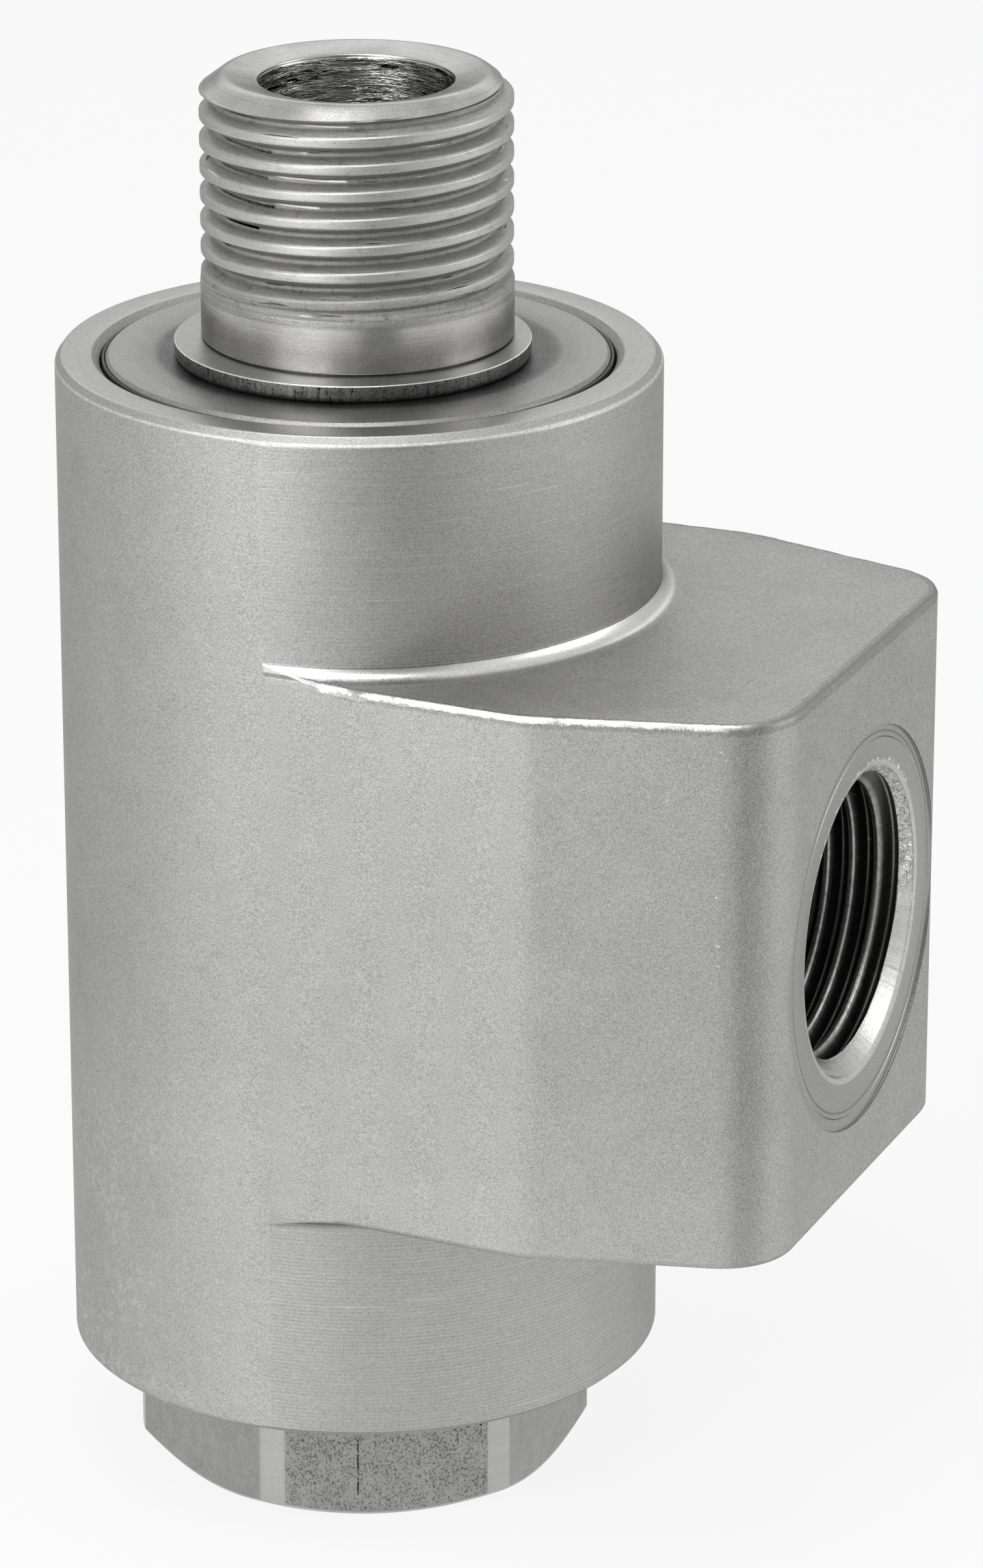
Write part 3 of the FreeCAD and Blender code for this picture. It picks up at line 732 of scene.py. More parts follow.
# Shader maths: a signal wraps a socket, and an expression on signals adds Math nodes to its tree
class Signal:
    def __init__(self, owner, socket):
        self.owner, self.socket = owner, socket

    def maths(self, operation, *values):
        return self.owner.node("Math", {"operation": operation}, dict(enumerate(values)))

    def __add__(self, other):
        return self.maths("ADD", self, other)

    def __radd__(self, other):
        return self.maths("ADD", other, self)

    def __sub__(self, other):
        return self.maths("SUBTRACT", self, other)

    def __rsub__(self, other):
        return self.maths("SUBTRACT", other, self)

    def __mul__(self, other):
        return self.maths("MULTIPLY", self, other)

    def __rmul__(self, other):
        return self.maths("MULTIPLY", other, self)

    def __truediv__(self, other):
        return self.maths("DIVIDE", self, other)

    def __abs__(self):
        return self.maths("ABSOLUTE", self)

    def sine(self):
        return self.maths("SINE", self)

    # A noise of mean 0.5 as a swing round zero
    def swing(self, amount):
        return (self - 0.5) * amount

    # From this value to another one where the mask is 1
    def towards(self, value, mask):
        return self + mask * (value - self)

    # Smooth step from 0 at one value to 1 at the other
    def between(self, low, high):
        return self.owner.node("MapRange", {"interpolation_type": "SMOOTHSTEP"},
                               {"Value": self, "From Min": low, "From Max": high})


# The nodes of a material or a world
class Nodes:
    def __init__(self, holder):
        self.holder = holder
        holder.use_nodes = True
        self.tree = holder.node_tree
        self.tree.nodes.clear()

    def node(self, kind, settings=None, inputs=None, output=0):
        made = self.tree.nodes.new("ShaderNode" + kind)
        for key, value in (settings or {}).items():
            setattr(made, key, value)
        for key, value in (inputs or {}).items():
            if isinstance(value, Signal):
                self.tree.links.new(value.socket, made.inputs[key])
            else:
                made.inputs[key].default_value = value
        return Signal(self, made.outputs[output]) if made.outputs else None

    # Several outputs of the node that a signal comes from
    def outputsOf(self, signal, names):
        return [Signal(self, signal.socket.node.outputs[name]) for name in names]


# One material's nodes, with places in millimetres
class Finish(Nodes):
    def __init__(self, name):
        super().__init__(bpy.data.materials.new(name))
        metres = self.node("TexCoord", output="Object")
        self.place = self.node("VectorMath", {"operation": "SCALE"}, {0: metres, "Scale": 1 / mm})
        self.x, self.y, self.z = self.outputsOf(self.node("SeparateXYZ", inputs={0: self.place}), "XYZ")
        self.axisR, self.axisWay = self.about((0, 0, 0), (1, 1, 0))

    def vector(self, operation, *values):
        output = "Value" if operation == "LENGTH" else "Vector"
        return self.node("VectorMath", {"operation": operation}, dict(enumerate(values)), output)

    # Distance from an axis, and the unit vector that points away from it
    def about(self, centre, across):
        flat = self.vector("MULTIPLY", self.vector("SUBTRACT", self.place, centre), across)
        return self.vector("LENGTH", flat), self.vector("NORMALIZE", flat)

    def noise(self, scale=1.0, detail=3.0, rough=0.6, distortion=0.0, vector=None):
        return self.node("TexNoise", {}, {"Vector": vector or self.place, "Scale": scale, "Detail": detail,
                                          "Roughness": rough, "Distortion": distortion})

    # Noise on places stretched by three factors
    def grain(self, stretch, detail=3.0, rough=0.6, shift=(0, 0, 0)):
        return self.noise(1.0, detail, rough, vector=self.vector("MULTIPLY_ADD", self.place, stretch, shift))

    # Tool marks round an axis: noise that runs fast along the profile and slowly round the turn
    def toolMarks(self, along, fine, slow=1.2, detail=2.0, rough=0.6, shift=(0, 0, 0), way=None, axis="Z"):
        run = self.node("CombineXYZ", {}, {axis: along * fine})
        turned = self.vector("MULTIPLY_ADD", way or self.axisWay, (slow, slow, slow), shift)
        return self.noise(1.0, detail, rough, vector=self.vector("ADD", turned, run))

    def attribute(self, name):
        return self.node("Attribute", {"attribute_name": name}, {}, "Fac")

    def mix(self, factor, low, high):
        return self.node("Mix", {"data_type": "RGBA"}, {0: factor, 6: low, 7: high}, 2)

    # Greys of steel with a trace of warmth
    def steel(self, shade):
        return self.mix(shade, (0, 0, 0, 1), (1.005, 1, 0.985, 1))

    def bump(self, height):
        return self.node("Bump", {}, {"Strength": 1.0, "Distance": mm, "Height": height})

    def surface(self, colour, roughness, height, metallic=1.0, edgeTint=1.0):
        shader = self.node("BsdfPrincipled", {}, {
            "Base Color": colour,
            "Roughness": roughness,
            "Normal": self.bump(height),
            "Metallic": metallic,
            "Specular Tint": (edgeTint, edgeTint, edgeTint, 1),
        })
        self.node("OutputMaterial", {}, {"Surface": shader})
        return self.holder


# Housing: blasted satin on the lug and the left of the barrel, fine milled marks on the rest of the barrel,
# a polished hollow fillet, ragged bright edges that are burnished and brightened as a painted highlight, a
# turned port, and painted shade on the hollow's lower part, beside the edges, at the corner, the foot and
# inside the bore and the port
housingLook = {
    "blasted": 0.40,
    "milled": 0.385,
    "polished": 0.66,
    "edge": 0.82,
    "faceEdgePaintedShade": 0.35,
    "inside": 0.13,
    "rim": 0.38,
    "port": 0.40,
    "portDeep": 0.12,
    "blastedRoughness": 0.52,
    "milledRoughness": 0.44,
    "polishedRoughness": 0.30,
    "edgeRoughness": 0.30,
    "rimRoughness": 0.54,
    "portRoughness": 0.34,
    "feed": 0.27,
    "feedTone": 0.024,
    "grainHeight": 0.012,
    "millHeight": 0.0016,
    "fineSpeck": 0.48,
    "coarseSpeck": 0.12,
    "cloud": 0.08,
    "stain": 0.06,
    "wear": 0.09,
    "scratch": 0.10,
    "tick": 0.30,
    "lowTone": 0.03,
    "edgeTint": 0.55,
}


def housingSteel():
    look, s, p = housingLook, housingSizes, portSizes
    paint = Finish("housing_steel_finish")
    x, y, z = paint.x, paint.y, paint.z
    gap, stepWidth = paint.attribute("lugGap"), paint.attribute("stepWidth")
    beyond = abs(z - (portZ + s["lugRise"])) - s["lugHalfHeight"]  # over the lug's top or under its bottom
    upper = z.between(portZ - 1, portZ + 1)

    # the port's own distances
    portR, portWay = paint.about((0, 0, portZ), (0, 1, 1))
    spotR = paint.about((0, 0, portZ - p["spotDrop"]), (0, 1, 1))[0]
    portDepth = faceX - x
    inPort = spotR.between(p["spotR"] + 0.03, p["spotR"] - 0.03) * x.between(10.0, 16.0)
    outPort = 1 - inPort
    inBore = paint.axisR.between(s["recessR"] + 0.7, s["recessR"] + 0.5) * outPort
    inBore = inBore * z.between(rimZ - 0.35, rimZ - 0.6)
    outBore = 1 - inBore

    # masks of the finishes, of painted highlights and of painted shade
    ragged = paint.noise(1.9, 4.0, 0.75)
    rise = s["hollowR"] * (1 - math.cos(math.radians(s["hollowStart"])))
    milled = stepWidth.between(0.0, 0.02) * beyond.between(0.02, 0.08)
    fillet = beyond.between(0.04, 0.16) * beyond.between(rise + 0.03, rise - 0.03)
    fillet = fillet * stepWidth.between(0.0, 0.05) * upper
    # filletStart darkens a thin line along the hollow's top; the mask after it puts painted shade on the
    # hollow's lower part
    filletStart = beyond.between(rise - 0.10, rise - 0.06) * fillet
    filletLowPaintedShade = beyond.between(rise * 0.52, rise * 0.34) * fillet * stepWidth.between(8.0, 3.0)
    besideFace = x.between(faceX - 1.4, faceX - 3.6)
    nearEdge = gap + abs(beyond) - ragged.swing(0.55)
    # the ragged edge break: burnished steel, brightened beyond that as a painted highlight
    edge = nearEdge.between(0.42, 0.27) * (0.06 + 0.94 * stepWidth.between(0.85, 1.05)) * outPort
    edge = edge * besideFace * stepWidth.between(0.02, 0.1) * upper
    # painted shadow in a band just inside the ragged edge
    shadedEdge = nearEdge.between(0.80, 0.55) * (1 - edge) * outPort * upper * stepWidth.between(1.2, 1.6)
    # painted shade on the end face's top edge break
    faceEdgePaintedShade = nearEdge.between(0.42, 0.24) * (1 - besideFace) * outPort
    cornerX = faceX - s["cornerR"] * (1 - math.cos(math.radians(90 - s["taper"])))
    # corner: a band of painted shade down the lug's rounded corner
    corner = abs(x - faceX + 1.8).between(1.3, 0.2) * beyond.between(0.0, -0.3)
    ticks = paint.grain((1.1, 1.1, 3.4), 2.0, 0.6, (3, 7, 1)).between(0.66, 0.71)
    ticks = ticks * abs(x - cornerX).between(0.6, 0.3) * upper * beyond.between(0.0, -0.5)
    # foot: painted shade on the foot chamfer, just over the plug
    foot = z.between(housingLow[2] + 0.5, housingLow[2] + 0.3) * outBore
    chamferZ = rimZ - s["rimChamfer"]
    rim = z.between(chamferZ - 0.22, chamferZ - 0.12) * outBore
    # rimLine: a worn line at the chamfer's lower edge, brightened as a painted highlight
    rimLine = rim * z.between(chamferZ + 0.02, chamferZ - 0.06)
    flat = z.between(rimZ - 0.10, rimZ - 0.04)
    low = z.between(portZ - 4, portZ - 18) * outPort

    # patterns of the blasted and the milled steel
    blastGrain = paint.noise(3.4, 4.0, 0.72)
    blastFine = paint.noise(9.0, 2.0, 0.6)
    cloudy = paint.noise(0.16, 4.0, 0.62)
    stains = paint.noise(0.55, 5.0, 0.7, 0.4)
    wander = paint.toolMarks(z, 0.5, 1.5, 2.0, 0.5, (5, 3, 1))
    feedLines = ((z + wander * 0.10) * (2 * math.pi / look["feed"])).sine()
    mill = paint.toolMarks(z, 4.2, 2.0, 3.0, 0.7)
    patches = paint.noise(0.17, 2.0, 0.5).between(0.38, 0.62) * 0.5 + (1 - upper) * 0.7
    scratches = paint.toolMarks(z, 6.5, 3.0, 2.0, 0.5, (9, 2, 3)).between(0.68, 0.76)
    worn = paint.noise(1.5, 5.0, 0.8, 0.3).between(0.48, 0.62) * (1 - milled)
    worn = worn * paint.noise(0.13, 2.0, 0.5).between(0.44, 0.60)
    worn = worn * x.between(4.0, -8.0) * z.between(portZ, 18)
    lathe = paint.toolMarks(z + paint.axisR, 5.0, 1.2, 3.0, 0.6, (4, 4, 1))

    # the port: rings on the spot face, chatter and torn steel on the mouth's bevel, threads inside
    rings = paint.toolMarks(portR + portDepth * 0.55, 4.6, way=portWay, axis="X")
    chatter = paint.noise(1.0, 3.0, 0.6, vector=paint.vector("MULTIPLY", portWay, (15, 15, 15)))
    bevel = portR.between(p["lipR"] + 0.03, p["lipR"] - 0.03) * portDepth.between(1.35, 1.15) * inPort
    torn = bevel * portR.between(p["mouthR"] + 0.06, p["mouthR"]) * y.between(0.5, 3.0)
    torn = torn * z.between(portZ - 2.5, portZ)
    burr = paint.noise(1.6, 3.0, 0.7, 0.6)
    flakes = (abs(portR - p["lipR"] - 0.1) + burr.swing(1.5)).between(0.0, -0.12)
    flakes = flakes * z.between(portZ + 5, portZ + 8) * inPort * portDepth.between(0.5, 0.3)
    # crestIn: the crests inside the port stand lighter than the painted shade around them, a painted
    # highlight
    crestIn = portR.between(9.80, 9.50) * portDepth.between(1.15, 1.35) * inPort
    crestIn = crestIn * (0.60 + 0.40 * burr.between(0.34, 0.58))
    # lines: painted shade in the scribed groove and at the spot face's edge
    lines = abs(portR - p["scribeR"]).between(0.11, 0.04) + abs(spotR - p["spotR"]).between(0.12, 0.05) * 0.6
    # deep: painted shade deeper in the port
    deep = portDepth.between(1.0, 2.4) * inPort

    # heights in millimetres
    blastHeight = (blastGrain * 0.9 + blastFine * 1.3) * look["grainHeight"]
    millHeight = blastHeight * 0.75 + (feedLines * patches + mill * 1.5) * look["millHeight"]
    portHeight = rings * 0.006 + torn * burr * 0.45 + chatter * bevel * 0.03 + blastFine * 0.008
    height = blastHeight.towards(millHeight, milled).towards(portHeight, inPort) * (1 - 0.8 * fillet)

    # tones
    speck = blastFine.swing(look["fineSpeck"]) + blastGrain.swing(look["coarseSpeck"])
    cloud = cloudy.swing(look["cloud"])
    shade = look["blasted"] + cloud + stains.swing(look["stain"]) + speck + worn * look["wear"]
    millShade = look["milled"] + mill.swing(0.08) + cloud + speck * 0.8 + scratches * look["scratch"]
    shade = shade.towards(millShade + feedLines * patches * look["feedTone"], milled)
    shade = shade.towards(look["polished"] + cloudy.swing(0.2) + speck, fillet)
    # a darker line along the hollow's top, and painted shade on its lower part
    shade = shade - filletStart * 0.35 - filletLowPaintedShade * 0.40
    portShade = look["port"] + rings.swing(0.08) + speck + bevel * (0.16 + chatter.swing(0.2))
    portShade = portShade + torn * burr.swing(0.9)
    # painted shade deeper in the port, with painted highlights on its crests
    portShade = portShade.towards(look["portDeep"] + burr.swing(0.12), deep) + crestIn * 0.26 + flakes * 0.5
    shade = shade.towards(portShade - lines * 0.14, inPort)
    # painted shade inside the bore
    shade = shade.towards(look["inside"] + mill.swing(0.06), inBore)
    shade = shade.towards(look["rim"] + lathe.swing(0.10) + speck * 0.8, rim) + flat * 0.09
    # painted shade on the end face's top edge, just inside the ragged edge and down the lug's corner
    shade = shade.towards(look["faceEdgePaintedShade"], faceEdgePaintedShade) - shadedEdge * 0.08 - corner * 0.07
    shade = shade + ticks * look["tick"]
    # painted highlight over the burnished ragged edges, and a worn line on the rim chamfer brightened as a
    # painted highlight
    shade = shade.towards(look["edge"], edge) + rimLine * (0.16 + ragged.swing(0.5))
    shade = shade - foot * 0.05 + low * look["lowTone"]

    rough = look["blastedRoughness"] + stains.swing(0.10)
    rough = rough.towards(look["milledRoughness"] + mill.swing(0.10), milled)
    rough = rough.towards(look["polishedRoughness"], fillet)
    rough = rough.towards(look["portRoughness"] + chatter.swing(0.1), inPort)
    rough = rough.towards(look["rimRoughness"], rim) - flat * 0.20
    rough = rough.towards(look["edgeRoughness"], edge)
    return paint.surface(paint.steel(shade), rough, height, edgeTint=look["edgeTint"])


# Shaft: burnished thread crests over dull galled flanks and roots darkened with painted shade, rings on the
# lead, tool marks in the bore. A scar is a mark round the stub: height, azimuths of its ends, half its width
# and how much lighter it is
shaftLook = {
    "turned": 0.47,
    "crest": 0.45,
    "flank": 0.40,
    "root": 0.31,
    "bore": 0.38,
    "turnedRoughness": 0.26,
    "crestRoughness": 0.45,
    "flankRoughness": 0.52,
    "nick": 0.36,
    "gouge": 0.22,
    "edgeTint": 0.5,
    "scars": [
        (97.15, -91, -68, 0.06, 0.40),
        (95.30, -90, -85, 0.09, 0.60),
        (93.55, -102, -69, 0.08, 0.60),
        (91.70, -102, -80, 0.08, 0.60),
        (95.10, -134, -100, 0.13, -0.22),
        (93.30, -137, -102, 0.13, -0.20),
        (91.45, -138, -99, 0.12, -0.24),
        (89.80, -132, -107, 0.16, -0.34),
        (88.00, -135, -126, 0.16, -0.34),
    ],
}


def shaftSteel():
    look, s = shaftLook, shaftSizes
    paint = Finish("shaft_steel_finish")
    top = shaftHigh[2]
    r, z = paint.axisR, paint.z
    outside = r.between(s["boreR"] + 0.2, s["boreR"] + 0.4)
    threaded = z.between(s["runoutStart"] - 0.2, s["runoutStart"]) * z.between(top - 0.98, top - 1.12)
    threaded = threaded * outside
    below = stubCrestR - r
    crest = below.between(0.16, 0.05) * threaded * z.between(s["runoutEnd"] - 0.9, s["runoutEnd"] + 0.2)
    root = below.between(0.5, 0.8) * threaded
    flank = threaded * (1 - crest)
    inBore = (1 - outside) * z.between(top - 0.7, top - 0.85)
    runout = z.between(s["runoutEnd"] + 0.5, s["runoutEnd"] - 0.5)
    runout = runout * z.between(s["threadStart"] - 0.5, s["threadStart"])

    drag = paint.toolMarks(z, 7.5, 3.5, 3.0, 0.75)
    streak = paint.toolMarks(z, 5.5, 2.2, 3.0, 0.65, (3, 8, 1))
    turned = paint.toolMarks(z + r * 0.8, 5.0, 1.1, 3.0, 0.65, (1, 5, 2))
    boreMarks = paint.toolMarks(z, 1.7, 1.3, 4.0, 0.8, (6, 2, 4))
    boreTears = paint.toolMarks(z, 3.2, 2.4, 3.0, 0.7, (2, 2, 9)).between(0.52, 0.60)
    gall = paint.noise(5.5, 4.0, 0.74, 0.8)
    fine = paint.noise(10.0, 2.0, 0.6)
    stain = paint.noise(0.42, 4.0, 0.6, 0.5)
    torn = paint.noise(1.2, 4.0, 0.75).between(0.56, 0.68)
    nick = streak.between(0.66, 0.72) * flank
    gouge = paint.toolMarks(z, 3.2, 1.6, 2.0, 0.6, (7, 1, 5)).between(0.66, 0.73) * flank

    # heights in millimetres
    height = turned * 0.004 + fine * 0.004 + (drag * 0.022 + gall * 0.016) * flank + gall * 0.006 * crest
    height = height + inBore * (boreMarks * 0.10 + boreTears * 0.04) - gouge * 0.05
    height = height + runout * (gall * 0.03 + drag * 0.02)

    # tones
    shade = look["turned"] + turned.swing(0.14) + stain.swing(0.24) + fine.swing(0.30)
    shade = shade.towards(look["flank"] + drag.swing(0.26) + gall.swing(0.34) - torn * 0.07, flank)
    shade = shade.towards(look["crest"] + streak.swing(0.26) + fine.swing(0.30) - torn * 0.08, crest)
    # roots darker than the flanks as painted shade in the thread's crease
    shade = shade + root * (look["root"] - look["flank"]) + nick * look["nick"] - gouge * look["gouge"]
    shade = shade - runout * (torn * 0.06 + 0.06)
    turn = paint.y.maths("ARCTAN2", paint.y, paint.x) * (180 / math.pi)
    for level, start, end, half, tone in look["scars"]:
        line = abs(z - level + streak.swing(0.1)).between(half, half * 0.5) * outside
        shade = shade + line * turn.between(start, start + 7) * turn.between(end, end - 1.5) * tone
    shade = shade.towards(look["bore"] + boreMarks.swing(1.2) - boreTears * 0.26, inBore)

    rough = look["turnedRoughness"] + stain.swing(0.10)
    rough = rough.towards(look["flankRoughness"] + gall.swing(0.2), flank)
    rough = rough.towards(look["crestRoughness"], crest) + root * 0.12
    rough = rough + runout * 0.16 - inBore * 0.02 - nick * 0.15
    return paint.surface(paint.steel(shade), rough, height, edgeTint=look["edgeTint"])


# Retaining ring: oiled dark spring steel with a speckled sheared rim and a painted highlight along the upper
# arris
springLook = {
    "face": 0.22,
    "blotch": 0.14,
    "speck": 0.16,
    "side": -0.05,
    "pit": 0.07,
    "arrisPaintedHighlight": 0.50,
    "roughness": 0.42,
}


def springSteel():
    look = springLook
    paint = Finish("spring_steel_finish")
    z, top = paint.z, ringHigh[2]
    speckle = paint.noise(5.0, 3.0, 0.75)
    sheared = paint.toolMarks(z, 0.6, 40.0, 3.0, 0.75)
    blotch = paint.noise(0.8)
    # painted highlight along the sharp upper arris
    arrisPaintedHighlight = z.between(top - 0.10, top - 0.04) * z.between(top + 0.01, top - 0.03)
    side = z.between(top - 0.02, top - 0.08)
    pitted = speckle.between(0.47, 0.36) + sheared.between(0.44, 0.34)
    shade = look["face"] + blotch.swing(look["blotch"]) + speckle.swing(look["speck"])
    shade = shade + side * (sheared.swing(0.2) - pitted * look["pit"] + look["side"]) + arrisPaintedHighlight * look["arrisPaintedHighlight"]
    rough = look["roughness"] + speckle.swing(0.2) - arrisPaintedHighlight * 0.15
    return paint.surface(paint.steel(shade), rough, speckle * 0.014 + side * sheared * 0.03)


# Cover disc: fine blasted flat washer with faint turned rings and specks of dust, with painted shade towards
# the ring and a painted shadow just outside it
discLook = {
    "face": 0.27,
    "ring": 0.06,
    "film": 0.12,
    "grit": 0.36,
    "dust": 0.14,
    "shaftPaintedShade": 0.09,
    "ringPaintedShadow": 0.10,
    "roughness": 0.44,
}


def discSteel():
    look = discLook
    paint = Finish("disc_steel_finish")
    r = paint.axisR
    rings = paint.toolMarks(r + paint.z * 0.7, 3.0, 0.6, 3.0, 0.65)
    film = paint.noise(0.35, 4.0, 0.6, 0.6)
    grit = paint.noise(7.0, 3.0, 0.7)
    shade = look["face"] + rings.swing(look["ring"]) + film.swing(look["film"]) + grit.swing(look["grit"])
    shade = shade + grit.between(0.68, 0.76) * look["dust"]
    # painted shade that deepens towards the ring and shaft, and a painted shadow just outside the ring
    shade = shade - r.between(16.0, 12.5) * look["shaftPaintedShade"] - r.between(13.9, 13.1) * look["ringPaintedShadow"]
    rough = look["roughness"] + film.swing(0.14)
    return paint.surface(paint.steel(shade), rough, rings * 0.003 + grit * 0.010)


# End plug: pitted bar stock between turned corners, a turned cone and collar.
# A seam stands on the pitted flat: place across it, height where it starts and half its width
plugLook = {
    "flat": 0.325,
    "turned": 0.45,
    "pit": 0.17,
    "seam": 0.18,
    "shadedFlat": 0.07,
    "roughness": 0.46,
    "pittedFlat": -60,
    "seams": [(-1.95, 0.5, 0.10), (6.55, 5.0, 0.07)],
}


def plugSteel():
    look, s = plugLook, plugSizes
    paint = Finish("plug_steel_finish")
    x, y, z, r = paint.x, paint.y, paint.z, paint.axisR
    hexTop, half = s["hexHeight"], s["acrossFlats"] / 2
    corner = r.between(s["turnedR"] - 0.10, s["turnedR"] - 0.04) * z.between(hexTop, hexTop - 0.05)
    cone = paint.attribute("coneDepth").between(0.06, 0.0)
    collar = z.between(hexTop - 0.03, hexTop + 0.02)
    turnedArea = (corner + collar + cone).between(0.0, 1.0)
    mottle = paint.noise(0.75, 5.0, 0.68, 0.5)
    grit = paint.noise(5.5, 4.0, 0.72)
    flatX, flatY = [way(math.radians(look["pittedFlat"])) for way in (math.cos, math.sin)]
    outward, across = x * flatX + y * flatY, y * flatX - x * flatY
    pittedFlat = abs(outward).between(half - 0.2, half - 0.05)
    pits = (paint.grain((7.5, 7.5, 5.4), 3.0, 0.64) + mottle.swing(0.2)).between(0.46, 0.38)
    pits = pits * (0.15 + 0.85 * pittedFlat)
    dashes = paint.grain((1.0, 1.0, 1.6), 3.0, 0.7)
    seam = 0
    for place, low, width in look["seams"]:
        line = abs(across - place + dashes.swing(0.2)).between(width, width * 0.3)
        seam = seam + line * z.between(low, low + 1.5) * dashes.between(0.40, 0.50)
    seam = seam * pittedFlat * 1.6
    drawn = paint.grain((3.5, 3.5, 0.25))
    # facet: a slow swing of tone across the flats, painted shade that darkens some of them
    facet = paint.grain((0.05, 0.05, 0.0), 1.0, 0.5)
    marks = paint.toolMarks(z + r * 0.8, 4.4)
    height = grit * 0.020 - pits * 0.030 + mottle * 0.02 + drawn * 0.006 - seam * 0.02
    height = height.towards(marks * 0.005, turnedArea)
    shade = look["flat"] + mottle.swing(0.14) + grit.swing(0.30) - pits * look["pit"] + drawn.swing(0.08)
    shade = shade - seam * look["seam"] + facet.swing(look["shadedFlat"])
    shade = shade.towards(look["turned"] + marks.swing(0.10) + grit.swing(0.12), turnedArea)
    rough = look["roughness"] + grit.swing(0.2) - turnedArea * 0.06
    return paint.surface(paint.steel(shade), rough, height)


# Ground and lapped bearing steel, with the finest of marks
bearingLook = {"tone": 0.58, "lap": 0.08, "film": 0.06, "roughness": 0.16}


def bearingSteel():
    look = bearingLook
    paint = Finish("bearing_steel_finish")
    lap = paint.toolMarks(paint.z + paint.axisR * 0.8, 9.0, 0.7, 2.0, 0.5)
    film = paint.noise(0.7)
    shade = look["tone"] + lap.swing(look["lap"]) + film.swing(look["film"])
    return paint.surface(paint.steel(shade), look["roughness"] + film.swing(0.08), lap * 0.0012)


# Black rubber with a dull bloom and mould flow
rubberLook = {"dark": (0.010, 0.010, 0.010, 1), "bloom": (0.030, 0.030, 0.029, 1), "roughness": 0.52}


def sealRubber():
    look = rubberLook
    paint = Finish("seal_rubber_finish")
    bloom = paint.noise(0.6, 4.0, 0.6, 0.4)
    skin = paint.noise(9.0)
    colour = paint.mix(bloom, look["dark"], look["bloom"])
    return paint.surface(colour, look["roughness"] + bloom.swing(0.2), skin * 0.006, 0.0)


# Plastics of the inner rings and cages: a tint, with turned lines for machined ones
plasticLook = {
    "slipper_plastic": {"dark": (0.30, 0.22, 0.10, 1), "light": (0.42, 0.33, 0.17, 1), "marks": 0.004},
    "cage_plastic": {"dark": (0.50, 0.47, 0.38, 1), "light": (0.66, 0.63, 0.54, 1), "marks": 0.001},
}
plasticRoughness = 0.42


def plasticFinish(slot):
    look = plasticLook[slot]
    paint = Finish(slot + "_finish")
    lines = paint.toolMarks(paint.z + paint.axisR * 0.8, 5.0, 0.8)
    tone = paint.noise(0.5)
    colour = paint.mix(lines * 0.4 + tone * 0.6, look["dark"], look["light"])
    return paint.surface(colour, plasticRoughness + tone.swing(0.15), lines * look["marks"], 0.0)


# Distance from the lug's side to each point of the housing, which the masks of its edges read
housingPoints = pointsOf(housing)
pointAngle = np.arctan2(np.abs(housingPoints[:, 1]), housingPoints[:, 0])
pointR = np.hypot(housingPoints[:, 0], housingPoints[:, 1])
sideR = lugReach(pointAngle)[0]
giveAttribute(housing, "lugGap", np.maximum(sideR - pointR, 0))
giveAttribute(housing, "stepWidth", np.maximum(sideR - barrelR - housingSizes["milledRise"], 0))

# Height of the hexagon's points over its turned cone
plugPoints = pointsOf(plug)
plugR = np.hypot(plugPoints[:, 0], plugPoints[:, 1])
coneZ = np.maximum(plugR - plugSizes["footR"], 0) * math.tan(math.radians(plugSizes["cone"]))
giveAttribute(plug, "coneDepth", np.maximum(plugPoints[:, 2] - coneZ - 0.13, 0))

finishBySlot = {
    "housing_steel": housingSteel(),
    "shaft_steel": shaftSteel(),
    "spring_steel": springSteel(),
    "disc_steel": discSteel(),
    "bearing_steel": bearingSteel(),
    "plug_steel": plugSteel(),
    "seal_rubber": sealRubber(),
}
for slot in plasticLook:
    finishBySlot[slot] = plasticFinish(slot)
for node in frame["nodes"].values():
    for place in node.material_slots:
        place.material = finishBySlot[place.material.name.split(".")[0]]
print("finishes made", len(finishBySlot))


# Each piece stands for its CAD node and moves with its body
standing = [
    (housing, "housing", "housing_group", "housing_steel"),
    (shaft, "shaft", "shaft_group", "shaft_steel"),
    (ring, "stub_retaining_ring", "shaft_group", "spring_steel"),
    (disc, "cover_disc", "shaft_group", "disc_steel"),
    (lip, "dust_seal", "shaft_group", "seal_rubber"),
    (plug, "end_plug", "housing_group", "plug_steel"),
]
for piece, node, body, finish in standing:
    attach(piece, body)
    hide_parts(node)
    piece.data.materials.clear()
    piece.data.materials.append(finishBySlot[finish])
print("pieces placed", len(standing))


# Camera at the photograph's viewing angle
cameraSizes = {"place": (0.1769, -0.39206, 0.20633), "pitch": 69.8515, "heading": 23.1, "lens": 153.88}
camera = bpy.data.objects.new("camera", bpy.data.cameras.new("camera"))
camera.location = cameraSizes["place"]
camera.rotation_euler = [math.radians(v) for v in (cameraSizes["pitch"], 0, cameraSizes["heading"])]
camera.data.lens = cameraSizes["lens"]
bpy.context.scene.collection.objects.link(camera)
bpy.context.scene.camera = camera

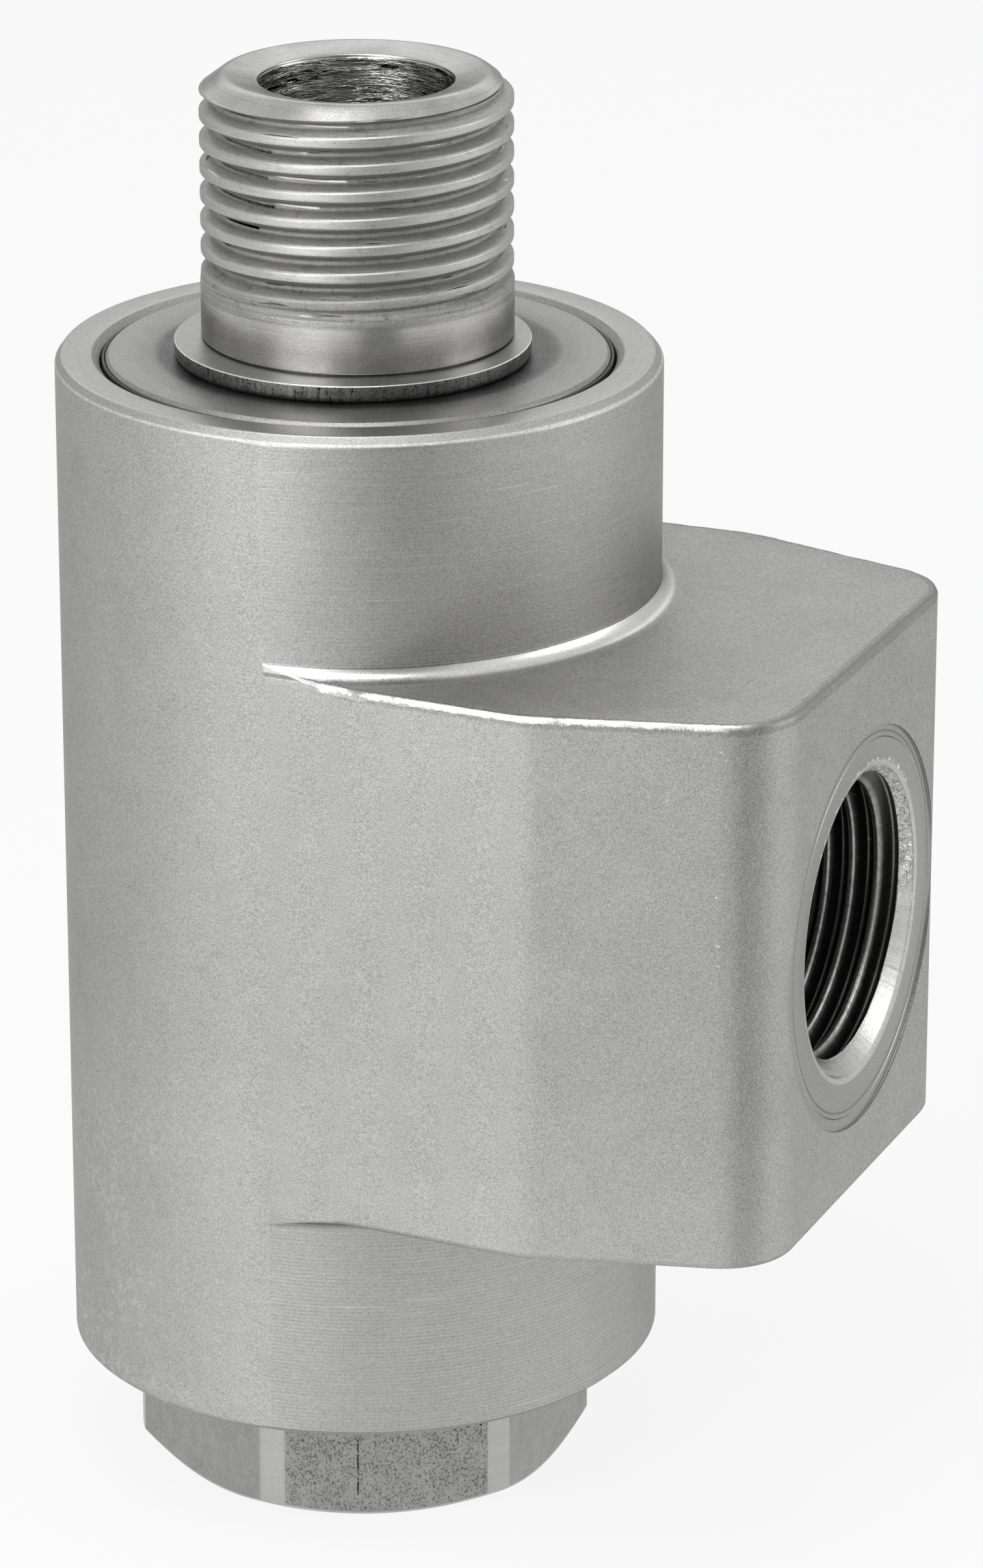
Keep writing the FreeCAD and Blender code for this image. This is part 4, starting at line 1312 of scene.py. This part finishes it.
# Pale floor and soft studio light. Bearings count from the camera, to the right as the camera sees it:
# a tall soft lamp on the left, weaker ones on the right and behind, one overhead, and a grey card in front.
# A lamp has a name, bearing, distance, height, size and watts
studioSizes = {
    "floorReach": 3.0,
    "floorColour": 0.80,
    "floorOwn": 0.86,
    "worldLight": 0.45,
    "background": 1.0,
    "lamps": [
        ("key", -38, 0.50, 0.20, (0.34, 0.46), 1.6),
        ("fill", 88, 0.70, 0.30, (0.40, 0.50), 1.4),
        ("overhead", -25, 0.28, 0.78, (0.45, 0.45), 2.4),
        ("back", 180, 0.60, 0.45, (0.80, 0.40), 0.7),
    ],
}
cardSizes = {"bearing": 16, "distance": 0.17, "low": 0.004, "high": 0.30, "width": 0.10, "shade": 0.46}


def standAt(bearing, distance, height):
    angle = math.radians(cameraSizes["heading"] - 90 + bearing)
    return np.array([distance * math.cos(angle), distance * math.sin(angle), height])


# 1 for rays from the camera and for those that shiny or clear surfaces send, 0 for the light itself
def seenRays(paint):
    kinds = ("Is Camera Ray", "Is Glossy Ray", "Is Transmission Ray")
    camera, glossy, clear = paint.outputsOf(paint.node("LightPath"), kinds)
    return (camera + glossy + clear).between(0.0, 1.0)


def stagePiece(name, points, faces, shader):
    mesh = bpy.data.meshes.new(name)
    mesh.from_pydata(points, [], faces)
    piece = bpy.data.objects.new(name, mesh)
    bpy.context.scene.collection.objects.link(piece)
    shader.owner.node("OutputMaterial", {}, {"Surface": shader})
    mesh.materials.append(shader.owner.holder)
    return piece


def plainPaint(paint, shade):
    return paint.node("BsdfDiffuse", {}, {"Color": (shade, shade, shade, 1)})


def makeFloor():
    s = studioSizes
    edge = np.linspace(-s["floorReach"], s["floorReach"], 3)
    x, y = np.meshgrid(edge, edge)
    paint = Finish("floor_paint")
    own = paint.node("Emission", {}, {"Color": (1, 1, 1, 1), "Strength": s["background"]})
    share = seenRays(paint) * s["floorOwn"]
    shown = paint.node("MixShader", {}, {0: share, 1: plainPaint(paint, s["floorColour"]), 2: own})
    points = np.stack([x, y, 0 * x], -1).reshape(-1, 3)
    floor = stagePiece("floor", points, gridFaces(3, 3, False).tolist(), shown)


# A standing card that only shiny surfaces see
def makeCard():
    s = cardSizes
    middle = standAt(s["bearing"], s["distance"], 0)
    along = np.array([-middle[1], middle[0], 0]) / s["distance"] * s["width"] / 2
    low, high = [0, 0, s["low"]], [0, 0, s["high"]]
    corners = [middle - along + low, middle + along + low, middle + along + high, middle - along + high]
    paint = Finish("dark_card_paint")
    card = stagePiece("dark_card", corners, [(0, 1, 2, 3)], plainPaint(paint, s["shade"]))
    card.visible_camera = card.visible_diffuse = card.visible_shadow = card.visible_transmission = False


def makeLamp(name, bearing, distance, height, size, watts):
    lamp = bpy.data.objects.new(name, bpy.data.lights.new(name, "AREA"))
    lamp.data.shape = "RECTANGLE"
    lamp.data.size, lamp.data.size_y = size
    lamp.data.energy = watts
    lamp.location = standAt(bearing, distance, height)
    target = (cadBox[0] + cadBox[1]) / 2
    lamp.rotation_euler = (target - lamp.location).to_track_quat("-Z", "Y").to_euler()
    bpy.context.scene.collection.objects.link(lamp)


def makeWorld():
    s = studioSizes
    paint = Nodes(bpy.data.worlds.new("studio"))
    strength = s["worldLight"] + seenRays(paint) * (s["background"] - s["worldLight"])
    light = paint.node("Background", {}, {"Strength": strength})
    paint.node("OutputWorld", {}, {"Surface": light})
    bpy.context.scene.world = paint.holder


makeFloor()
for lamp in studioSizes["lamps"]:
    makeLamp(*lamp)
makeCard()
makeWorld()
print("studio set")

bpy.context.scene.view_settings.view_transform = "Standard"
